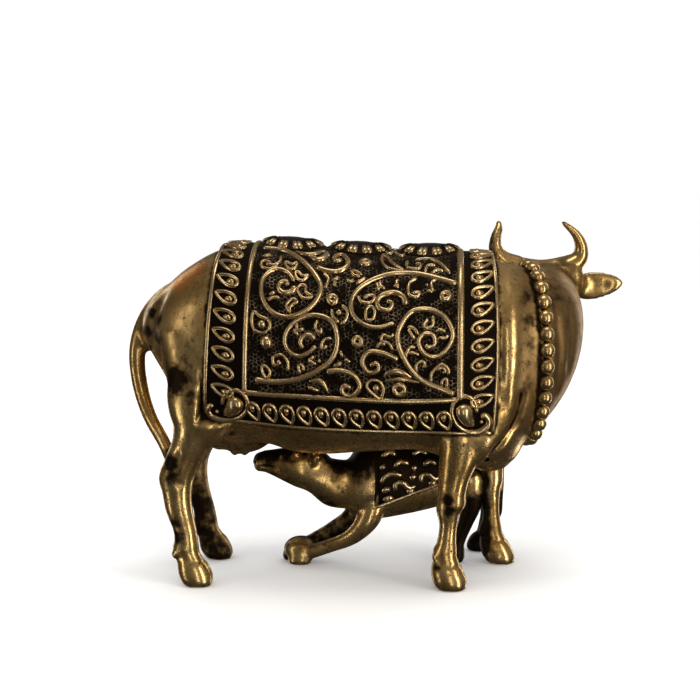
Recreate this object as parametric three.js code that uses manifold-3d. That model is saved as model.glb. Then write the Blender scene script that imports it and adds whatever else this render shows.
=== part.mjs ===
// A small cast brass statue of a standing cow with her calf at the udder, for a shelf or a shrine.
// The cow wears a carved saddle cloth and a garland of beads, and turns her head to her left.
// The calf is a second casting, brazed on under the belly. It wears a small cloth of its own.
// Millimetres. +X runs from the tail to the chest, +Y to the cow's left and +Z up.
// The origin is on the ground, at the middle of the statue's outer box.
import * as THREE from "three";
import { mergeVertices } from "three/addons/utils/BufferGeometryUtils.js";
import Module from "manifold-3d";

// Driving dimensions
const COW_HEIGHT = 96; // ground to horn tips
const CLOTH_THICKNESS = 1.3; // saddle cloth above the hide
const FRAME_HEIGHT = 0.8; // the ridge round the panels, above the cloth
const FRAME_WIDTH = 1.5;
const REAR_BORDER = 10; // edge of the cloth to the frame, measured along the cow
const FRONT_BORDER = 8.7;
const LOWER_BORDER = 10.2; // the same, measured up the flank
const VINE_HEIGHT = 1.0; // scrolls above the cloth
const VINE_WIDTH = 1.5;
const MANGO_LENGTH = 6.2; // the drops in the border
const MANGO_WIDTH = 3.9;
const MANGO_HEIGHT = 0.9;
const MANGO_PITCH = 4.7;
const CORNER_LENGTH = 9.5; // the large drop on each lower corner
const CORNER_WIDTH = 6.8;
const CORNER_HEIGHT = 1.7;
const LOTUS_DIAMETER = 16.5; // the bosses on the spine
const LOTUS_HEIGHT = 2.2;
const LOTUS_PITCH = 19.2;
const BEAD_DIAMETER = 3.8;
const BEAD_PITCH = 4.3;
const HORN_DIAMETER = 4; // at the root
const TAIL_DIAMETER = 4.3;
const CLEFT_WIDTH = 0.8; // slot between the two claws of a hoof
const CALF_CLOTH_THICKNESS = 0.7;
const BRAZE_GAP = 0.3; // between the two castings, where the solder runs
const SINK = 1.2; // how far applied carving reaches into what it sits on

// The figures are drawn on a cow 96 units tall to the horn tips. UNIT is one of those, in millimetres.
const DRAWN_HEIGHT = 96;
const UNIT = COW_HEIGHT / DRAWN_HEIGHT;

const BRASS = { color: 0xa8842f, metalness: 1, roughness: 0.32 };
const NEAR = -1; // the cow's right side
const FAR = 1;
const SIDES = [NEAR, FAR];
const FULL_TURN = 2 * Math.PI;
const wasm = await Module();
wasm.setup();

const vector = (x, y, z) => new THREE.Vector3(x, y, z);
const radians = THREE.MathUtils.degToRad;
const clamp = THREE.MathUtils.clamp;
const steps = (count) => Array.from({ length: count + 1 }, (_, i) => i / count);
const round = (sides, corner) => Array.from({ length: sides }, (_, j) => corner((j / sides) * FULL_TURN, j));

// A closed geometry as a solid for joining and cutting, turned so that its faces point out.
function solid(geometry) {
  const bare = new THREE.BufferGeometry().setAttribute("position", geometry.getAttribute("position"));
  bare.setIndex(geometry.index);
  const merged = mergeVertices(bare, 1e-4);
  const triVerts = new Uint32Array(merged.index.array);
  const vertProperties = new Float32Array(merged.attributes.position.array);
  const made = new wasm.Manifold(new wasm.Mesh({ numProp: 3, vertProperties, triVerts }));
  if (made.volume() > 0) return made;
  for (let i = 0; i < triVerts.length; i += 3) triVerts.subarray(i + 1, i + 3).reverse();
  return new wasm.Manifold(new wasm.Mesh({ numProp: 3, vertProperties, triVerts }));
}

// All the solids as one.
const joined = (solids) => solids.reduce((whole, next) => whole.add(next));

// A smooth curve through the rows of a table, one column at a time, at t from 0 to 1.
function between(rows, t) {
  const place = t * (rows.length - 1);
  const i = Math.min(Math.floor(place), rows.length - 2);
  const f = place - i;
  const row = (k) => rows[clamp(k, 0, rows.length - 1)];
  return rows[i].map((_, c) => {
    const [a, b, d, e] = [row(i - 1)[c], row(i)[c], row(i + 1)[c], row(i + 2)[c]];
    return b + 0.5 * f * (d - a + f * (2 * a - 5 * b + 4 * d - e + f * (3 * (b - d) + e - a)));
  });
}

// A skin over rings of equal point counts, closed by a fan at each end unless it runs round as a loop.
function skin(rings, loop = false) {
  const sides = rings[0].length;
  const middle = (ring) => ring.reduce((sum, p) => sum.add(p), vector(0, 0, 0)).divideScalar(sides);
  const points = [...rings.flat(), middle(rings[0]), middle(rings.at(-1))];
  const first = rings.length * sides;
  const faces = [];
  for (let j = 0; j < sides; j++) {
    const k = (j + 1) % sides;
    for (let i = 0; i + 1 < rings.length; i++) {
      const [a, b, c, d] = [i * sides + j, i * sides + k, (i + 1) * sides + j, (i + 1) * sides + k];
      faces.push(a, b, c, b, d, c);
    }
    if (!loop) faces.push(k, j, first, first - sides + j, first - sides + k, first + 1);
  }
  const geometry = new THREE.BufferGeometry().setFromPoints(points);
  geometry.setIndex(faces);
  return solid(geometry);
}

// A peak over a ring of points.
function cone(ring, peak) {
  const sides = ring.length;
  const faces = ring.flatMap((_, j) => [j, (j + 1) % sides, sides]);
  for (let j = 1; j + 1 < sides; j++) faces.push(0, j + 1, j);
  const geometry = new THREE.BufferGeometry().setFromPoints([...ring, peak]);
  geometry.setIndex(faces);
  return solid(geometry);
}

// A limb: rings of an ellipse about a centre, each with its two half axes, through the rows' stations.
// ring(row) gives { centre, across, up } in drawn units. The limb is swelled by grow millimetres.
function limb(rows, ring, { count, sides, grow = 0 }) {
  const rings = steps(count).map((t) => {
    const { centre, across, up } = ring(between(rows, t));
    const [a, b] = [across, up].map((axis) => axis.setLength(axis.length() * UNIT + grow));
    const middle = centre.multiplyScalar(UNIT);
    return round(sides, (turn) =>
      middle.clone().addScaledVector(a, Math.cos(turn)).addScaledVector(b, Math.sin(turn)),
    );
  });
  return skin(rings);
}

// Rows of [z, x, half length, y, half width], for legs and hooves with level rings.
const levelRing = ([z, x, length, y, width]) => ({
  centre: vector(x, y, z),
  across: vector(length, 0, 0),
  up: vector(0, width, 0),
});

// Rows of [x, y, z, yaw, pitch, half width, half height], for rings square to a heading.
function headingRing([x, y, z, yaw, pitch, width, height]) {
  const turn = new THREE.Euler(0, -radians(pitch), radians(yaw), "ZYX");
  return {
    centre: vector(x, y, z),
    across: vector(0, width, 0).applyEuler(turn),
    up: vector(0, 0, height).applyEuler(turn),
  };
}

// A round tapering bar along rows of [x, y, z, radius].
function bar(rows, { count, sides, grow = 0 }) {
  const curve = new THREE.CatmullRomCurve3(rows.map(([x, y, z]) => vector(x, y, z)));
  const frames = curve.computeFrenetFrames(count);
  const rings = steps(count).map((t, i) => {
    const radius = between(rows, t)[3] * UNIT + grow;
    const middle = curve.getPoint(t).multiplyScalar(UNIT);
    return round(sides, (turn) =>
      middle
        .clone()
        .addScaledVector(frames.normals[i], radius * Math.cos(turn))
        .addScaledVector(frames.binormals[i], radius * Math.sin(turn)),
    );
  });
  return skin(rings);
}

// The trunk

// Stations of [x, back, belly, half width], from the rump to the chest.
const TRUNK = [
  [-57.2, 69.2, 64.6, 2.5],
  [-54.8, 76, 59.5, 8.6],
  [-49.5, 80.6, 50, 14.8],
  [-43, 84.4, 41.5, 19],
  [-34, 88, 36.5, 21.6],
  [-22, 88.5, 35, 23],
  [-8, 87.9, 33.6, 23.8],
  [6, 87.2, 33.6, 23.8],
  [19, 86.9, 33.4, 23.2],
  [30, 86.9, 31.2, 21.8],
  [38.5, 86.2, 29, 19],
  [45, 82, 31.6, 14.2],
  [50.4, 72, 42, 5],
];
const FULLNESS = 2.3; // 2 is an ellipse, more is squarer
const TRUNK_MESH = { rings: 15, sides: 20 };

// The trunk's station at x, in drawn units: [x, back, belly, half width].
function trunkAt(x) {
  let [low, high] = [0, 1];
  while (high - low > 1e-7) {
    const t = (low + high) / 2;
    if (between(TRUNK, t)[0] < x) low = t;
    else high = t;
  }
  return between(TRUNK, low);
}

// A point of the hide at a station, turned round the trunk from the spine, raised by grow millimetres.
function hidePoint([x, back, belly, width], turn, grow) {
  const curve = (v) => Math.sign(v) * Math.abs(v) ** (2 / FULLNESS);
  const middle = (back + belly) / 2;
  const side = width * UNIT + grow;
  const rise = ((back - belly) / 2) * UNIT + grow;
  return vector(x * UNIT, side * curve(Math.sin(turn)), middle * UNIT + rise * curve(Math.cos(turn)));
}

function trunk(grow = 0) {
  const ring = (station) => round(TRUNK_MESH.sides, (turn) => hidePoint(station, turn, grow));
  return skin(steps(TRUNK_MESH.rings).map((t) => ring(between(TRUNK, t))));
}

// Neck and head

// Stations for headingRing, from inside the shoulders to behind the poll.
const NECK = [
  [26, 0, 59, 0, 0, 21.5, 26.5],
  [39, 0.6, 57.8, 6, 0, 19, 27.4],
  [48, 2.4, 60.4, 15, 0, 15.4, 23.6],
  [53.2, 7.5, 65, 46, 0, 12.4, 18.4],
  [54.4, 14.5, 70, 76, 0, 10.2, 13.4],
  [53.6, 21, 74, 100, 0, 8.2, 10],
];
const COLLAR = NECK[2]; // where the garland hangs
const neck = (grow = 0) => limb(NECK, headingRing, { count: 8, sides: 12, grow });

const HEAD_YAW = 106;
const HEAD_PITCH = -38;
const POLL = [53.8, 18.5, 77];

// A place on the head, in drawn units: forward of the poll, to the cow's right, and above the brow line.
function headPlace(forward, right, above) {
  const turn = new THREE.Euler(0, -radians(HEAD_PITCH), radians(HEAD_YAW), "ZYX");
  return vector(forward, -right, above).applyEuler(turn).add(vector(...POLL));
}

// Stations of [forward of the poll, below the brow line, half width, half height].
const HEAD = [
  [-4.5, 0.5, 3.4, 3],
  [-2, 0.3, 7.6, 6],
  [3, 0, 8.1, 7.6],
  [9, 0.4, 7.3, 7.9],
  [15, 0.4, 5.9, 6.4],
  [21, 0.2, 5, 5.2],
  [26, 0.2, 5.4, 5],
  [29.4, 0.2, 4.6, 4.2],
  [30.8, 0.4, 2.6, 2.4],
];
function head(grow = 0) {
  const rows = HEAD.map(([forward, drop, width, height]) => {
    const { x, y, z } = headPlace(forward, 0, -drop);
    return [x, y, z, HEAD_YAW, HEAD_PITCH, width, height];
  });
  return limb(rows, headingRing, { count: 9, sides: 10, grow });
}

// The horns stand on the ends of a bar across the poll. Rows of [x, y, z, share of the root radius].
// The bar runs from the second row of one, where the horn turns up, to the second row of the other.
const RIGHT_HORN = [
  [60, 20.6, 83.2, 1.05],
  [63.2, 21.4, 85, 1],
  [63.7, 21.6, 88.4, 0.78],
  [62, 20.8, 92, 0.56],
  [58.4, 19.6, 95.6, 0.28],
];
const LEFT_HORN = [
  [45.6, 16.4, 83.6, 1.05],
  [41.6, 15.6, 85.6, 1],
  [39.9, 15.6, 88.6, 0.78],
  [40.6, 16.6, 92, 0.56],
  [40.9, 18.4, 95.4, 0.28],
];
const POLL_BAR = { middle: [-0.5, 0, 6.2], share: 0.85 };
const hornRadius = HORN_DIAMETER / 2 / UNIT;
const horn = (rows) =>
  bar(rows.map(([x, y, z, share]) => [x, y, z, hornRadius * share]), { count: 6, sides: 6 });

function pollBar() {
  const way = [LEFT_HORN[1], headPlace(...POLL_BAR.middle).toArray(), RIGHT_HORN[1]];
  return bar(way.map(([x, y, z]) => [x, y, z, hornRadius * POLL_BAR.share]), { count: 2, sides: 6 });
}

// An ear is a leaf. Rows of [share of its length, half width and half thickness as shares of EAR_WIDTH].
const EAR = [
  [-0.08, 0.5, 0.5],
  [0.1, 0.62, 0.44],
  [0.35, 1, 0.4],
  [0.62, 0.98, 0.36],
  [0.87, 0.62, 0.3],
  [1, 0.14, 0.12],
];
const EAR_LENGTH = 15;
const EAR_WIDTH = 3.5;
const RIGHT_EAR = { root: [2.2, 7, 1.4], heading: [0.99, 0.06, 0.1] };
const LEFT_EAR = { root: [3.4, -7, 1.8], heading: [-0.8, 0.55, 0.24] };

function ear({ root, heading }) {
  const along = vector(...heading).normalize();
  const up = vector(0, 0, 1).addScaledVector(along, -along.z).normalize();
  const flat = along.clone().cross(up);
  const ring = ([share, width, thickness]) => ({
    centre: headPlace(...root).addScaledVector(along, EAR_LENGTH * share),
    across: up.clone().multiplyScalar(EAR_WIDTH * width),
    up: flat.clone().multiplyScalar(EAR_WIDTH * thickness),
  });
  return limb(EAR, ring, { count: 5, sides: 7 });
}

// Legs

// Stations for levelRing, from inside the trunk to the sole on the ground.
const HIND_LEG = [
  [68, -41, 10, 11, 8],
  [56, -38.8, 10.4, 13, 8.4],
  [47, -38.6, 9, 14, 7.2],
  [40, -40.8, 6.8, 14.2, 5.8],
  [34, -43.2, 5.4, 14.2, 4.8],
  [29, -45, 4.8, 14.2, 4.3],
  [24.5, -45, 3.9, 14.2, 3.7],
  [20, -44.5, 3.6, 14.2, 3.3],
  [14.5, -43, 3.1, 14.2, 3],
  [10.5, -42.6, 3.2, 14.2, 3.1],
  [8.2, -42.1, 3, 14.2, 2.9],
  [5.2, -41, 4.1, 14.2, 3.9],
  [2.2, -40.2, 4.5, 14.2, 4.3],
  [0, -39.6, 3.7, 14.2, 3.8],
];
const FORE_LEG = [
  [60, 32, 8.4, 11, 7.5],
  [48, 31, 7.4, 13, 7.2],
  [40, 30, 5.8, 13.8, 5.6],
  [34, 29.2, 5.1, 14, 4.6],
  [28.5, 28, 4, 14, 3.9],
  [23.5, 27.3, 3.6, 14, 3.6],
  [20.8, 26.7, 3.2, 14, 3.3],
  [17, 26.7, 2.4, 14, 2.6],
  [13.5, 26.4, 2.4, 14, 2.5],
  [10.3, 26.1, 2.9, 14, 2.9],
  [8.3, 26.1, 3, 14, 2.9],
  [5.2, 26.4, 4.2, 14, 4],
  [2.2, 27.2, 4.6, 14, 4.4],
  [0, 27.6, 3.8, 14, 3.9],
];
const KNEE_HEIGHT = 30; // below this a leg steps forward by a growing share
const HIP_SHARE = 0.55; // of a leg's height, over which the step fades in at the top

// A leg's rows on one side, stepped forward by so many units at the knee and at the ground.
function stance(rows, side, knee, ground) {
  const top = rows[0][0];
  return rows.map(([z, x, length, y, width]) => {
    const step = ground + (knee - ground) * Math.min(1, z / KNEE_HEIGHT);
    const faded = Math.min(1, (top - z) / (top * HIP_SHARE));
    return [z, x + step * faded, length, y * side, width];
  });
}
const LEGS = [
  stance(HIND_LEG, NEAR, 0, 0),
  stance(HIND_LEG, FAR, 0.8, 2),
  stance(FORE_LEG, NEAR, 0, 0),
  stance(FORE_LEG, FAR, 10.6, 14.2),
];
const leg = (rows, grow = 0) => limb(rows, levelRing, { count: 13, sides: 8, grow });

// The slot between the claws, open at the toe and the sole. It leans back as the toe does.
const CLEFT_RISE = 5;
const CLEFT_LEAN = 24;
const CLEFT_SHARE = 1.25; // its middle is this share of the hoof's half length ahead of the leg
function cleft(rows) {
  const [z, x, length, y] = rows.at(-2);
  const slot = new THREE.BoxGeometry(length * UNIT, CLEFT_WIDTH, CLEFT_RISE * UNIT);
  slot.rotateY(radians(-CLEFT_LEAN));
  slot.translate((x + length * CLEFT_SHARE) * UNIT, y * UNIT, z * UNIT);
  return solid(slot);
}

// The tail leaves the rump, stands off below its root and comes down on the back of the near hind leg.
// Rows of [x, y, z, share of the tail's radius]. A short bridge holds it to the rump.
const TAIL = [
  [-47, 0, 80.5, 0.8],
  [-53.4, 0, 76.4, 1],
  [-57.2, -0.2, 70.4, 1.05],
  [-58.4, -0.4, 64, 1.1],
  [-58.4, -0.8, 57.5, 1],
  [-57, -1.6, 50, 0.95],
  [-54.4, -3.8, 43, 0.86],
  [-50.8, -7.6, 36.4, 0.78],
  [-47.6, -11, 31, 0.72],
];
const TAIL_BRIDGE = [
  [-59, -0.6, 61, 1],
  [-55, -0.3, 61.6, 1],
  [-50, 0, 62, 1],
];
function tail() {
  const radius = TAIL_DIAMETER / 2 / UNIT;
  const sized = (rows) => rows.map(([x, y, z, share]) => [x, y, z, radius * share]);
  return bar(sized(TAIL), { count: 11, sides: 5 }).add(bar(sized(TAIL_BRIDGE), { count: 2, sides: 5 }));
}

const UDDER = { centre: [-29, 0, 39], halfAxes: [8.4, 7, 6.2] };
const TEATS = [-31.6, -27.4]; // their x, in pairs
const TEAT = [
  [2.6, 36, 1.5],
  [2.8, 34, 1.3],
  [3, 31.8, 0.8],
]; // rows of [out from the middle, z, radius]
function udder(grow = 0) {
  const bag = new THREE.SphereGeometry(1, 10, 5);
  bag.scale(...UDDER.halfAxes.map((n) => n * UNIT + grow)).translate(...UDDER.centre.map((n) => n * UNIT));
  const teats = TEATS.flatMap((x) => SIDES.map((side) => TEAT.map(([out, z, r]) => [x, side * out, z, r])));
  return joined([solid(bag), ...teats.map((rows) => bar(rows, { count: 2, sides: 4, grow }))]);
}

// The saddle cloth

const CLOTH_REAR = -36 * UNIT;
const CLOTH_FRONT = 38.2 * UNIT;
const HEM_HEIGHTS = [[45.2], [43.6], [42.6], [42.1], [41.9]]; // of the lower hem, from rear to front

// How high the lower hem hangs at x, in millimetres.
const hemHeight = (x) =>
  between(HEM_HEIGHTS, clamp((x - CLOTH_REAR) / (CLOTH_FRONT - CLOTH_REAR), 0, 1))[0] * UNIT;

// A block wider than the cow and far higher than her spine, cut to the cloth's outline from the side.
const WINDOW_REACH = 2 * trunkAt(0)[1] * UNIT;
function clothWindow() {
  const hem = steps(6).map((t) => {
    const x = CLOTH_REAR + (CLOTH_FRONT - CLOTH_REAR) * t;
    return new THREE.Vector2(x, hemHeight(x));
  });
  const corners = [CLOTH_REAR, CLOTH_FRONT].map((x) => new THREE.Vector2(x, WINDOW_REACH));
  const outline = new THREE.Shape([corners[0], ...hem, corners[1]]);
  const block = new THREE.ExtrudeGeometry(outline, { depth: WINDOW_REACH, bevelEnabled: false });
  return solid(block.rotateX(Math.PI / 2).translate(0, WINDOW_REACH / 2, 0));
}

// The way up one flank at x: points from the hem to the spine, raised above the cloth.
const FLANK_TURNS = steps(60).map((t) => (1 - t) * Math.PI);
function flank(x, raised) {
  const station = trunkAt(x / UNIT);
  const hem = hemHeight(x);
  const arc = FLANK_TURNS.map((turn) => hidePoint(station, turn, CLOTH_THICKNESS + raised));
  const first = arc.findIndex((p) => p.z > hem);
  const [below, above] = [arc[first - 1], arc[first]];
  return [below.clone().lerp(above, (hem - below.z) / (above.z - below.z)), ...arc.slice(first)];
}

// How far it is from the hem to the spine at x.
const flankLength = (x) =>
  flank(x, 0).reduce((sum, p, i, way) => sum + (i ? p.distanceTo(way[i - 1]) : 0), 0);

// A place on the cloth: x, and how far up the flank from the hem.
// Past the spine it goes on down the other side.
function clothPlace(x, up, side, raised) {
  const way = flank(x, raised);
  way.push(...way.slice(0, -1).reverse().map((p) => vector(p.x, -p.y, p.z)));
  let [i, left] = [0, up];
  while (i + 2 < way.length && left > way[i].distanceTo(way[i + 1])) {
    left -= way[i].distanceTo(way[i + 1]);
    i += 1;
  }
  const place = way[i].clone().lerp(way[i + 1], left / way[i].distanceTo(way[i + 1]));
  return vector(place.x, place.y * side, place.z);
}

// A raised line on the cloth: path(t) gives [x, up]. Its section is a ridge, narrower at the end by taper.
function ridge(path, side, { count, width, height, taper = 0 }) {
  const rings = steps(count).map((t) => {
    const [x, up] = path(t);
    const [nextX, nextUp] = path(t + 1e-3);
    const length = Math.hypot(nextX - x, nextUp - up);
    const [acrossX, acrossUp] = [-(nextUp - up) / length, (nextX - x) / length];
    const half = (width / 2) * (1 - taper * t);
    const point = (off, raised) => clothPlace(x + acrossX * off, up + acrossUp * off, side, raised);
    return [point(-half, -SINK / 2), point(0, height), point(half, -SINK / 2)];
  });
  return skin(rings);
}

// The frame round the panels: a ridge over the back at the rear and at the front, and one along each hem.
function frame() {
  const [rear, front] = [CLOTH_REAR + REAR_BORDER, CLOTH_FRONT - FRONT_BORDER];
  const section = { width: FRAME_WIDTH, height: FRAME_HEIGHT };
  const over = [rear, front].map((x) => {
    const length = 2 * (flankLength(x) - LOWER_BORDER);
    return ridge((t) => [x, LOWER_BORDER + length * t], NEAR, { count: 13, ...section });
  });
  const hem = (t) => [rear + (front - rear) * t, LOWER_BORDER];
  return [...over, ...SIDES.map((side) => ridge(hem, side, { count: 6, ...section }))];
}

// The scrolls of a panel. Each has a stem that comes in from outside a circle and winds from rim to middle.
// Centres are from the cloth's rear lower corner, angles are where the stem starts and how far it winds.
const SCROLLS = [
  { centre: [21, 38], radii: [9.4, 3.6], stem: 8.3, angles: [118, -400], count: 9 },
  { centre: [26.5, 23.5], radii: [8.6, 3.4], stem: 8.8, angles: [218, 420], count: 9 },
  { centre: [45.8, 35], radii: [9, 3.6], stem: 10.3, angles: [16, 400], count: 9 },
  { centre: [57.2, 26.5], radii: [9.2, 3.4], stem: 6.9, angles: [-66, -400], count: 9 },
  { centre: [34, 49.5], radii: [3.2, 1.6], stem: 3, angles: [-140, 340], count: 5 },
];
const STEM_SHARE = 0.16; // of a scroll's sweep, over which its stem comes in to the rim
const VINE_TAPER = 0.35;

function scroll({ centre, radii, stem, angles, count }, side) {
  const path = (t) => {
    const turn = radians(angles[0] + angles[1] * t);
    const incoming = stem * Math.max(0, 1 - t / STEM_SHARE) ** 2;
    const radius = (radii[0] + (radii[1] - radii[0]) * t + incoming) * UNIT;
    const [x, up] = [CLOTH_REAR + centre[0] * UNIT, centre[1] * UNIT];
    return [x + radius * Math.cos(turn), up + radius * Math.sin(turn)];
  };
  return ridge(path, side, { count, width: VINE_WIDTH, height: VINE_HEIGHT, taper: VINE_TAPER });
}

// A drop on the cloth: round at one end, drawn to a tip that points along a heading in degrees.
const DROP_POINTEDNESS = 0.45;
const DROP_PEAK = 0.12; // its peak is this share of the length from the middle, towards the round end
function drop([x, up], heading, { length, width, height, sides }, side) {
  const turn = radians(heading);
  const place = (along, off, raised) => {
    const dx = along * Math.cos(turn) - off * Math.sin(turn);
    const rise = along * Math.sin(turn) + off * Math.cos(turn);
    return clothPlace(x + dx, up + rise, side, raised);
  };
  const base = round(sides, (a) => {
    const off = (width / 2) * Math.sin(a) * (1 - DROP_POINTEDNESS * Math.cos(a));
    return place((length / 2) * Math.cos(a), off, -SINK / 2);
  });
  return cone(base, place(-length * DROP_PEAK, 0, height));
}

// The drops in one side's borders: up the rear and front edges, along the hem, and a large one in
// each corner.
const MANGO = { length: MANGO_LENGTH, width: MANGO_WIDTH, height: MANGO_HEIGHT, sides: 5 };
const CORNER = { length: CORNER_LENGTH, width: CORNER_WIDTH, height: CORNER_HEIGHT, sides: 8 };
const UPRIGHT_REACH = 50 * UNIT; // the last drop of an edge starts below this
const HEADINGS = { rear: 168, front: 12, hem: -72, rearCorner: 215, frontCorner: -35 };
function borderDrops(side) {
  const upright = (x, heading) => {
    const first = LOWER_BORDER + MANGO_PITCH / 3;
    const count = Math.max(1, Math.ceil((UPRIGHT_REACH - first) / MANGO_PITCH));
    return steps(count).map((t) => drop([x, first + t * count * MANGO_PITCH], heading, MANGO, side));
  };
  const from = CLOTH_REAR + REAR_BORDER + MANGO_PITCH / 2;
  const run = CLOTH_FRONT - FRONT_BORDER - MANGO_PITCH / 2 - from;
  const count = Math.max(1, Math.round(run / MANGO_PITCH));
  const hem = steps(count).map((t) => drop([from + run * t, LOWER_BORDER / 2], HEADINGS.hem, MANGO, side));
  const inset = CORNER_LENGTH / 2 + SINK / 4;
  return [
    ...upright(CLOTH_REAR + REAR_BORDER / 2, HEADINGS.rear),
    ...upright(CLOTH_FRONT - FRONT_BORDER / 2, HEADINGS.front),
    ...hem,
    drop([CLOTH_REAR + inset, inset], HEADINGS.rearCorner, CORNER, side),
    drop([CLOTH_FRONT - inset, inset], HEADINGS.frontCorner, CORNER, side),
  ];
}

// A lotus boss on the spine: a low dome whose edge swells into petals.
// Rings of [share of the radius, depth of the notches between petals, share of the height].
const LOTUS_PETALS = 8;
const LOTUS_RINGS = [
  [1, 0.16, -1.6],
  [0.85, 0.16, 0.5],
  [0.4, 0, 1],
];
function lotus(x) {
  const spine = hidePoint(trunkAt(x / UNIT), 0, CLOTH_THICKNESS).z;
  const rings = LOTUS_RINGS.map(([share, notch, rise]) =>
    round(2 * LOTUS_PETALS, (turn, j) => {
      const radius = (LOTUS_DIAMETER / 2) * share * (1 - (j % 2) * notch);
      return vector(x + radius * Math.cos(turn), radius * Math.sin(turn), spine + LOTUS_HEIGHT * rise);
    }),
  );
  return skin(rings);
}

function saddleCloth() {
  const carving = SIDES.flatMap((side) => [...borderDrops(side), ...SCROLLS.map((one) => scroll(one, side))]);
  const middle = (CLOTH_REAR + CLOTH_FRONT + REAR_BORDER - FRONT_BORDER) / 2;
  const bosses = [-1, 0, 1].map((k) => lotus(middle + k * LOTUS_PITCH));
  return joined([trunk(CLOTH_THICKNESS).intersect(clothWindow()), ...frame(), ...carving, ...bosses]);
}

// The garland: one string of cast beads round the neck. Each has a ring at its middle and one at its end.
const BEAD_WAIST = 0.5; // between two beads, as a share of a bead
const BEAD_STAND = 1.3; // how far a bead stands out, as a share of its radius
function garland() {
  const { centre, across, up } = headingRing(COLLAR);
  const along = across.clone().cross(up).normalize();
  for (const part of [centre, across, up]) part.multiplyScalar(UNIT);
  const hung = (turn) =>
    centre.clone().addScaledVector(across, Math.cos(turn)).addScaledVector(up, Math.sin(turn));
  const string = new THREE.CatmullRomCurve3(round(40, hung), true);
  const count = 2 * Math.floor(string.getLength() / BEAD_PITCH);
  const rings = Array.from({ length: count }, (_, i) => {
    const middle = string.getPointAt(i / count);
    const outward = middle.clone().sub(centre).normalize();
    const radius = (BEAD_DIAMETER / 2) * BEAD_STAND * (i % 2 ? BEAD_WAIST : 1);
    const corner = (out, on) => middle.clone().addScaledVector(outward, out).addScaledVector(along, on);
    return [corner(radius, 0), corner(-SINK, radius), corner(-SINK, -radius)];
  });
  return skin([...rings, rings[0]], true);
}

// The calf

// Stations for headingRing: the trunk from chest to rump, then the neck and head.
const CALF_HEADING = 19;
const CALF_TRUNK = [
  [-4, 6.4, 23.5, 19, 0, 2.6, 5],
  [-1, 7.6, 23.8, 19, 0, 5, 8.6],
  [5, 9.8, 24.4, 19, 0, 7.2, 11.6],
  [15, 13.2, 24.8, 19, 0, 7.8, 11.2],
  [25, 16.8, 25.6, 19, 0, 8, 10.2],
  [33, 19.8, 26.6, 19, 0, 7.2, 9.2],
  [38.4, 21.8, 27, 19, 0, 4.8, 6.4],
  [40.4, 22.5, 27, 19, 0, 1.6, 2],
];
const CALF_HEAD = [
  [3, 9, 23.4, 14, -16, 5.4, 8],
  [-4, 7.2, 23.4, 14, -24, 4.6, 7],
  [-9.5, 6, 26, 10, -26, 4.1, 5.5],
  [-14, 5.2, 28.2, 8, -20, 4.7, 5.7],
  [-18.5, 4.6, 29.4, 6, -18, 4, 4.6],
  [-22.5, 4.2, 30, 5, -16, 3.1, 3.3],
  [-25.6, 4, 30.2, 5, -14, 2.9, 2.7],
  [-27.2, 3.9, 30.2, 5, -14, 1.6, 1.5],
];
const CALF_EARS = [
  { root: [-11, 3.6, 29.6], heading: [0.3, -0.8, 0.3] },
  { root: [-11, 8, 29.6], heading: [0.3, 0.8, 0.3] },
];
const CALF_EAR = [
  [0, 1.1],
  [2.6, 1.7],
  [5.4, 0.4],
]; // rows of [along it, radius]

// Legs as rows of [x, y, z, radius] from the shoulder or hip to the pastern, and where each hoof stands.
const CALF_LEGS = [
  {
    hoof: [-14.6, 8.8],
    rows: [
      [9, 5.8, 19, 4.2],
      [6.4, 5.8, 13, 3.4],
      [0.2, 6.4, 8.4, 2.3],
      [-6, 7.4, 5.4, 1.9],
      [-12.4, 8.4, 3, 2],
    ],
  },
  {
    hoof: [-17.2, 14],
    rows: [
      [4, 12.4, 20, 4],
      [0, 12.6, 12.8, 2.9],
      [-5.4, 13, 8.8, 2.1],
      [-10.6, 13.4, 5.8, 1.8],
      [-15.4, 13.8, 3.2, 1.9],
    ],
  },
  {
    hoof: [28.2, 13.4],
    rows: [
      [33, 14, 23, 4.6],
      [33.4, 13.4, 16.6, 3],
      [32, 13.4, 11.6, 2.2],
      [30.4, 13.4, 7, 1.8],
      [29.4, 13.4, 4, 1.9],
    ],
  },
  {
    hoof: [35.8, 27],
    rows: [
      [36, 25, 23, 4.6],
      [38.6, 26.2, 16.6, 3],
      [38.6, 26.8, 11.6, 2.2],
      [37.6, 27, 7, 1.8],
      [37, 27, 4, 1.9],
    ],
  },
];
const CALF_HOOF = [
  [4.6, 1, 2.1, 2],
  [3, 0.4, 2.7, 2.5],
  [1.2, 0, 3.1, 2.7],
  [0, 0, 2.7, 2.4],
]; // rows of [z, back from the toe's line, half length, half width]
const CALF_TAIL = [
  [39, 22, 31, 1.4],
  [41.4, 23.2, 28, 1.3],
  [42, 23.8, 22, 1.1],
  [41.6, 24.2, 16, 1.2],
  [41, 24.2, 12, 1.6],
  [40.6, 24, 8.6, 0.7],
];
const CALF_CLOTH = { size: [27, 24, 20], hem: [18, 14.2, 20], slope: -12 }; // hem is the middle of its edge

const calfTrunk = (grow = 0) => limb(CALF_TRUNK, headingRing, { count: 9, sides: 12, grow });

// The calf's cloth: the trunk swelled, kept between two planes square to it and above a sloping hem.
function calfCloth() {
  const [length, width, height] = CALF_CLOTH.size.map((n) => n * UNIT);
  const window = new THREE.BoxGeometry(length, width, height).translate(0, 0, height / 2);
  window.rotateY(radians(CALF_CLOTH.slope)).rotateZ(radians(CALF_HEADING));
  window.translate(...CALF_CLOTH.hem.map((n) => n * UNIT));
  return calfTrunk(CALF_CLOTH_THICKNESS).intersect(solid(window));
}

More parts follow.
